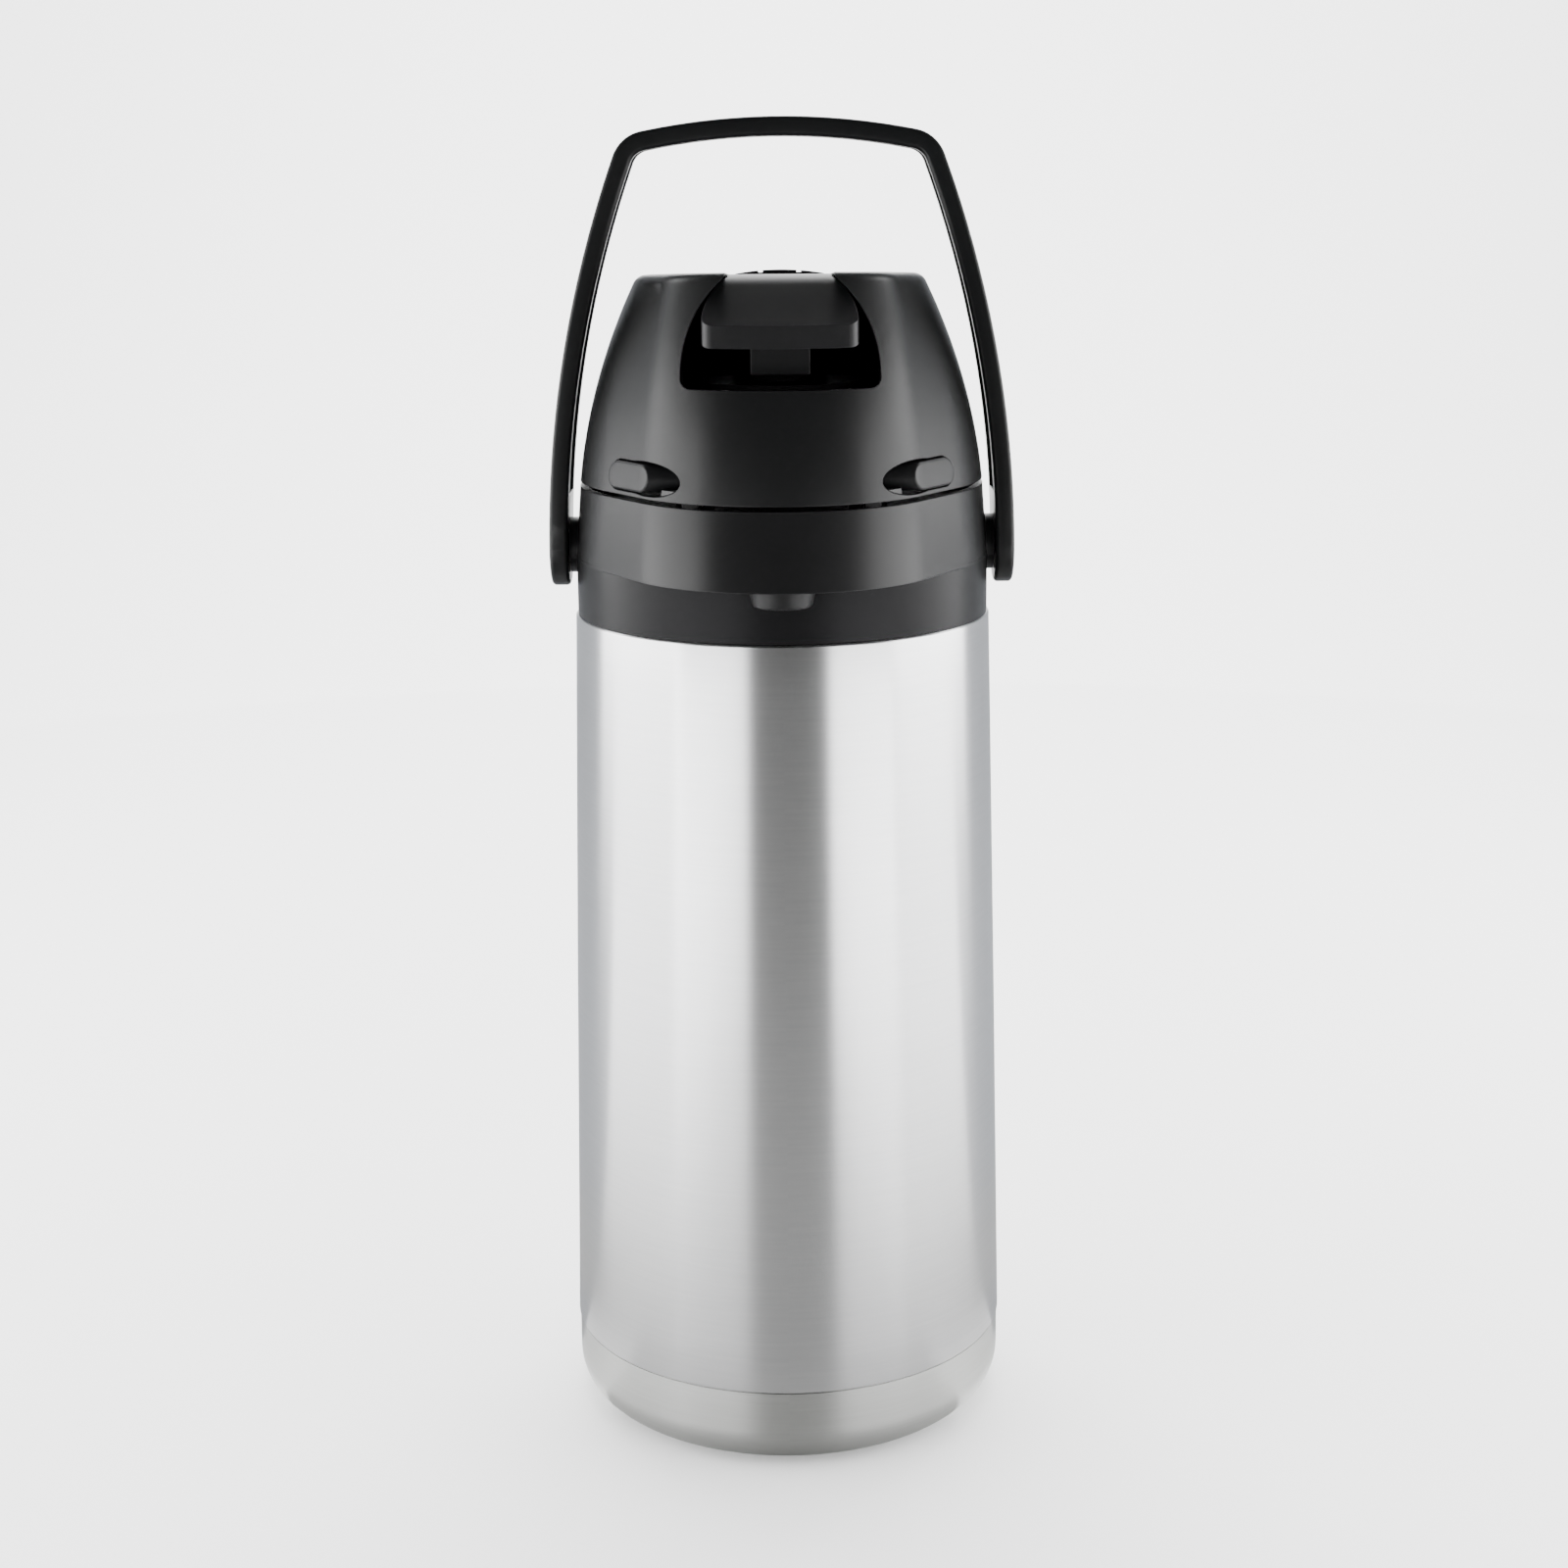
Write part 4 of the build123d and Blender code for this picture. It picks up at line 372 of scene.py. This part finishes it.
seal_rubber = moulding("seal_rubber", SEAL_COLOR, SEAL_LIGHT, roughness=0.6,
                       grain_size=0.0008, grain_depth=0.00004, specular=0.4)
dress(["mouth_gasket", "pipe_gaskets", "lid_seal", "air_valve"], seal_rubber)


# Bellows: folded black rubber between the base plate of the lid and the pump plate. Its folds
# close like a concertina when the lever is pressed, and push air into the flask.

BELLOWS_COLOR = (0.016, 0.016, 0.017, 1)
BELLOWS_LIGHT = (0.024, 0.024, 0.025, 1)
BELLOWS_FLOOR = 0.3220
BELLOWS_TOP = 0.3597
BELLOWS_RIDGE = 0.0290
BELLOWS_VALLEY = 0.0235
BELLOWS_WALL = 0.0010
BELLOWS_FOLDS = 5
FOLD_FULLNESS = 0.8


def place_piece(name, points, faces, material, body, slot, node):
    """Put a new mesh piece where it stands in for a CAD node."""
    mesh = bpy.data.meshes.new(name)
    mesh.from_pydata(points, [], faces)
    mesh.materials.append(material)
    mesh.shade_smooth()
    piece = bpy.data.objects.new(name, mesh)
    bpy.context.scene.collection.objects.link(piece)
    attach(piece, body)
    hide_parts(node)
    return piece


def close_with_pump(piece):
    """Give a piece a mesh of its own, shared with no other object."""
    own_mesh(piece)


def folded_skin():
    """Points and faces of the bellows: one rounded fold after another, turned about the axis."""
    steps_up = 10 * BELLOWS_FOLDS
    steps_round = 96
    outside = []
    for i in range(steps_up + 1):
        swell = (0.5 - 0.5 * math.cos(2 * math.pi * BELLOWS_FOLDS * i / steps_up)) ** FOLD_FULLNESS
        outside.append((BELLOWS_VALLEY + (BELLOWS_RIDGE - BELLOWS_VALLEY) * swell,
                        BELLOWS_FLOOR + (BELLOWS_TOP - BELLOWS_FLOOR) * i / steps_up))
    outline = outside + [(radius - BELLOWS_WALL, height) for radius, height in reversed(outside)]
    count = len(outline)
    points = []
    faces = []
    for i in range(steps_round):
        turn = 2 * math.pi * i / steps_round
        points += [(radius * math.cos(turn), radius * math.sin(turn), height)
                   for radius, height in outline]
        near = i * count
        far = (i + 1) % steps_round * count
        for j in range(count):
            k = (j + 1) % count
            faces.append((near + j, far + j, far + k, near + k))
    return points, faces


bellows_rubber = moulding("bellows_rubber", BELLOWS_COLOR, BELLOWS_LIGHT, roughness=0.7,
                          grain_size=0.0010, grain_depth=0.00006)
bellows_skin = place_piece("bellows_skin", *folded_skin(), bellows_rubber,
                           body="lid", slot="bellows_rubber", node="bellows")
close_with_pump(bellows_skin)


# Return spring: round steel wire wound into a coil inside the bellows, with its last turns laid
# flat. It lifts the pump plate again when the lever is let go.

SPRING_RADIUS = 0.0170
SPRING_WIRE = 0.0009
SPRING_TURNS = 6
SPRING_FLAT = 0.09
SPRING_EASE = 0.35
SPRING_COLOR = (0.66, 0.66, 0.67, 1)
SPRING_SHADE = (0.58, 0.58, 0.59, 1)
SPRING_ROUGHNESS = 0.22


def wound_wire():
    """Points and faces of the coil: the turns ease out of a flat stretch at each end."""
    up = Vector((0, 0, 1))
    steps_along = 48 * SPRING_TURNS
    steps_round = 12
    low = BELLOWS_FLOOR + SPRING_WIRE
    high = BELLOWS_TOP - SPRING_WIRE
    points = []
    for i in range(steps_along + 1):
        share = i / steps_along
        lift = min(max((share - SPRING_FLAT) / (1 - 2 * SPRING_FLAT), 0.0), 1.0)
        rise = lift * lift * (3 - 2 * lift) * SPRING_EASE + lift * (1 - SPRING_EASE)
        turn = 2 * math.pi * SPRING_TURNS * share
        out = Vector((math.cos(turn), math.sin(turn), 0))
        middle = SPRING_RADIUS * out + (low + (high - low) * rise) * up
        for j in range(steps_round):
            side = 2 * math.pi * j / steps_round
            points.append(tuple(middle + SPRING_WIRE * (math.cos(side) * out + math.sin(side) * up)))
    faces = []
    for i in range(steps_along):
        for j in range(steps_round):
            k = (j + 1) % steps_round
            near = i * steps_round
            far = near + steps_round
            faces.append((near + j, far + j, far + k, near + k))
    faces.append(tuple(range(steps_round)))
    faces.append(tuple(reversed(range(steps_along * steps_round, (steps_along + 1) * steps_round))))
    return points, faces


spring_steel = brushed_steel("spring_steel", SPRING_COLOR, SPRING_SHADE, SPRING_ROUGHNESS)
spring_coil = place_piece("spring_coil", *wound_wire(), spring_steel,
                          body="lid", slot="wire_steel", node="return_spring")
close_with_pump(spring_coil)


# Screws, pins, clips and the latch spring: bright steel, turned or wound from drawn wire, with
# fine marks round them from the die.

WIRE_COLOR = (0.66, 0.66, 0.67, 1)
WIRE_SHADE = (0.58, 0.58, 0.59, 1)
WIRE_ROUGHNESS = 0.2

wire_steel = brushed_steel("wire_steel", WIRE_COLOR, WIRE_SHADE, WIRE_ROUGHNESS)
dress(["collar_screws", "lid_screws", "hinge_pin", "lever_pin", "handle_clips", "latch_spring"],
      wire_steel)


# Studio floor: one pale painted sheet, flat under the pot and curved up into a wall far behind
# it, so that no line shows where they meet.

FLOOR_COLOR = (0.88, 0.88, 0.88, 1)
FLOOR_LIGHT = (0.9, 0.9, 0.9, 1)
FLOOR_CLOUDS = 3.0
FLOOR_REACH = 3.0
FLOOR_BACK = 1.4
FLOOR_BEND = 0.8
WALL_TOP = 3.2


def studio_floor():
    """One sheet: flat under the pot, then a wide curve up into the back wall."""
    steps = 24
    profile = [(-FLOOR_REACH, 0.0)]
    for i in range(steps + 1):
        turn = math.pi / 2 * i / steps
        profile.append((FLOOR_BACK + FLOOR_BEND * math.sin(turn), FLOOR_BEND * (1 - math.cos(turn))))
    profile.append((FLOOR_BACK + FLOOR_BEND, WALL_TOP))
    points = [(x, y, z) for y, z in profile for x in (-FLOOR_REACH, FLOOR_REACH)]
    faces = [(2 * i, 2 * i + 1, 2 * i + 3, 2 * i + 2) for i in range(len(profile) - 1)]
    mesh = bpy.data.meshes.new("floor")
    mesh.from_pydata(points, [], faces)
    mesh.shade_smooth()
    floor = bpy.data.objects.new("floor", mesh)
    bpy.context.scene.collection.objects.link(floor)
    paint, tree, surface = start_material("floor_paint", Roughness=0.7)
    place = add_node(tree, "ShaderNodeTexCoord")
    cloud = add_node(tree, "ShaderNodeTexNoise",
                     {"Vector": place.outputs["Object"], "Scale": FLOOR_CLOUDS, "Detail": 2.0})
    tone = add_node(tree, "ShaderNodeMix",
                    {"Factor": cloud.outputs["Fac"], "A": FLOOR_COLOR, "B": FLOOR_LIGHT},
                    data_type="RGBA")
    tree.links.new(tone.outputs["Result"], surface.inputs["Base Color"])
    mesh.materials.append(paint)


studio_floor()


# Flags: grey cards that show only as reflections in the pot. Those in front give the dark upright
# band in the middle of the body, a ring darkens its foot, and those behind darken its two edges.

FRONT_TURNS = (-22.5, 24)
FRONT_REACH = 2.9
FRONT_SHADE = 0.16
FRONT_LEVEL = 0.002
FOOT_ROWS = ((0.085, -70, 62), (0.20, -62, 54), (0.35, -50, 42), (0.60, -34, 29), (0.85, -24, 24))
FOOT_SHADE = 0.20
FOOT_LEVEL = 0.0015
SIDE_TURNS = (20, 104)
SIDE_REACH = 0.42
SIDE_SHADE = 0.42
SIDE_LEVEL = 0.001
NEAR_TURNS = (-22, 24)
NEAR_SHADE = 0.22
RING_START = 0.13
RING_END = 0.225
RING_SHADE = 0.16
RING_LEVEL = 0.003
REAR_TURNS = (104, 256)
REAR_REACH = 1.3
REAR_SHADE = 0.15
UPRIGHT_TURNS = (114, 166)
UPRIGHT_DISTANCE = 1.0
UPRIGHT_BOTTOM = 0.01
UPRIGHT_TOP = 1.4
UPRIGHT_SHADE = 0.17
FLAG_START = 0.085
WARM_CLOTH = (1.0, 1.0, 0.985)
COOL_CLOTH = (0.96, 1.0, 1.06)


def reflection_card(name, points, shade, tint=WARM_CLOTH):
    """Grey card that only shows as a reflection in the pot, as the black flags of a studio do."""
    mesh = bpy.data.meshes.new(name)
    mesh.from_pydata(points, [], [list(range(len(points)))])
    card = bpy.data.objects.new(name, mesh)
    bpy.context.scene.collection.objects.link(card)
    cloth = start_material(name, Roughness=0.9, Base_Color=[shade * part for part in tint] + [1])[0]
    mesh.materials.append(cloth)
    card.visible_camera = False
    card.visible_diffuse = False
    card.visible_shadow = False


def turned_point(radius, degrees, height):
    """Place at a radius from the axis and an angle round from the front."""
    turn = math.radians(degrees)
    return radius * math.sin(turn), -radius * math.cos(turn), height


def floor_sector(start, end, near, far, height):
    """Corners of a ring sector near the floor, by two angles and two radii."""
    turns = [start + (end - start) * i / 48 for i in range(49)]
    inner = [turned_point(near, turn, height) for turn in turns]
    outer = [turned_point(far, turn, height) for turn in reversed(turns)]
    return inner + outer


def narrowing_sector(rows, height):
    """Corners of a floor card given by rows of radius, left angle and right angle."""
    left = [turned_point(radius, start, height) for radius, start, end in rows]
    right = [turned_point(radius, end, height) for radius, start, end in reversed(rows)]
    return left + right


def upright_sector(start, end):
    """Corners of a flat upright card between two angles."""
    low = [turned_point(UPRIGHT_DISTANCE, turn, UPRIGHT_BOTTOM) for turn in (start, end)]
    return low + [(x, y, UPRIGHT_TOP) for x, y, z in reversed(low)]


reflection_card("flag_front", floor_sector(*FRONT_TURNS, FLAG_START, FRONT_REACH, FRONT_LEVEL), FRONT_SHADE)
reflection_card("flag_foot", narrowing_sector(FOOT_ROWS, FOOT_LEVEL), FOOT_SHADE)
reflection_card("flag_right", floor_sector(*SIDE_TURNS, FLAG_START, SIDE_REACH, SIDE_LEVEL), SIDE_SHADE)
reflection_card("flag_left",
                floor_sector(-SIDE_TURNS[1], -SIDE_TURNS[0], FLAG_START, SIDE_REACH, SIDE_LEVEL),
                SIDE_SHADE)
reflection_card("flag_near", floor_sector(*NEAR_TURNS, FLAG_START, RING_START, RING_LEVEL), NEAR_SHADE)
reflection_card("flag_ring", floor_sector(-180, 180, RING_START, RING_END, RING_LEVEL), RING_SHADE)
reflection_card("flag_rear", floor_sector(*REAR_TURNS, FLAG_START, REAR_REACH, FRONT_LEVEL), REAR_SHADE,
                COOL_CLOTH)
reflection_card("flag_rear_left", upright_sector(-UPRIGHT_TURNS[0], -UPRIGHT_TURNS[1]), UPRIGHT_SHADE,
                COOL_CLOTH)
reflection_card("flag_rear_right", upright_sector(*UPRIGHT_TURNS), UPRIGHT_SHADE, COOL_CLOTH)


# Lights: a large soft light on each side, a smaller one behind each shoulder, two low bright boards
# beside the camera, a lamp on the wall, and light from all round that shows in no reflection.

SIDE_LIGHT = 9.0
RIM_LIGHT = 6.0
BOARD_LIGHT = 9.0
WALL_LIGHT = 58
AIR_COLOR = (0.92, 0.92, 0.925, 1)
AIR_LIGHT = 1.8
BODY_AIM = (0, 0, 0.30)
HEAD_AIM = (0, 0, 0.38)
FOOT_AIM = (0, 0, 0.10)
WALL_AIM = (0, 2.2, 0.9)


def soft_light(name, place, target, width, height, radiance):
    """Rectangular soft light aimed at a point, out of the camera's sight."""
    lamp = bpy.data.lights.new(name, "AREA")
    lamp.shape = "RECTANGLE"
    lamp.size = width
    lamp.size_y = height
    lamp.energy = radiance * math.pi * width * height
    light = bpy.data.objects.new(name, lamp)
    light.location = place
    aim = Vector(place) - Vector(target)
    light.rotation_euler = aim.to_track_quat("Z", "Y").to_euler()
    light.visible_camera = False
    bpy.context.scene.collection.objects.link(light)
    return light


soft_light("light_left", (-1.0, -0.065, 0.40), BODY_AIM, width=1.17, height=0.58, radiance=SIDE_LIGHT)
soft_light("light_right", (1.0, 0.0, 0.40), BODY_AIM, width=1.15, height=0.58, radiance=SIDE_LIGHT)
soft_light("rim_left", (-0.70, 0.58, 0.80), HEAD_AIM, width=0.40, height=0.40, radiance=RIM_LIGHT)
soft_light("rim_right", (0.70, 0.58, 0.80), HEAD_AIM, width=0.40, height=0.40, radiance=RIM_LIGHT)
soft_light("board_left", (-0.54, -0.68, 0.115), FOOT_AIM, width=0.62, height=0.22, radiance=BOARD_LIGHT)
soft_light("board_right", (0.583, -0.647, 0.115), FOOT_AIM, width=0.55, height=0.22, radiance=BOARD_LIGHT)
wall_lamp = soft_light("light_wall", (0, 0.9, 2.3), WALL_AIM, width=1.6, height=0.6, radiance=WALL_LIGHT)
wall_lamp.visible_glossy = False

air = bpy.data.worlds.new("studio_air")
air.use_nodes = True
air.node_tree.nodes["Background"].inputs["Color"].default_value = AIR_COLOR
air.node_tree.nodes["Background"].inputs["Strength"].default_value = AIR_LIGHT
air.cycles_visibility.glossy = False
bpy.context.scene.world = air


# Camera: a normal studio lens a little above the head of the pot, tilted down, with the small
# roll that the photograph has.

CAMERA_PLACE = (0.0, -0.852, 0.429)
CAMERA_TILT = 13.62
CAMERA_ROLL = -0.5
CAMERA_FOCUS = 57.78
CAMERA_SENSOR = 36
CAMERA_NEAR = 0.01

lens = bpy.data.cameras.new("camera")
lens.sensor_width = CAMERA_SENSOR
lens.lens = CAMERA_FOCUS
lens.clip_start = CAMERA_NEAR
camera = bpy.data.objects.new("camera", lens)
camera.location = CAMERA_PLACE
tilt = Matrix.Rotation(math.radians(90 - CAMERA_TILT), 3, "X")
roll = Matrix.Rotation(math.radians(CAMERA_ROLL), 3, "Z")
camera.rotation_euler = (tilt @ roll).to_euler()
bpy.context.scene.collection.objects.link(camera)
bpy.context.scene.camera = camera
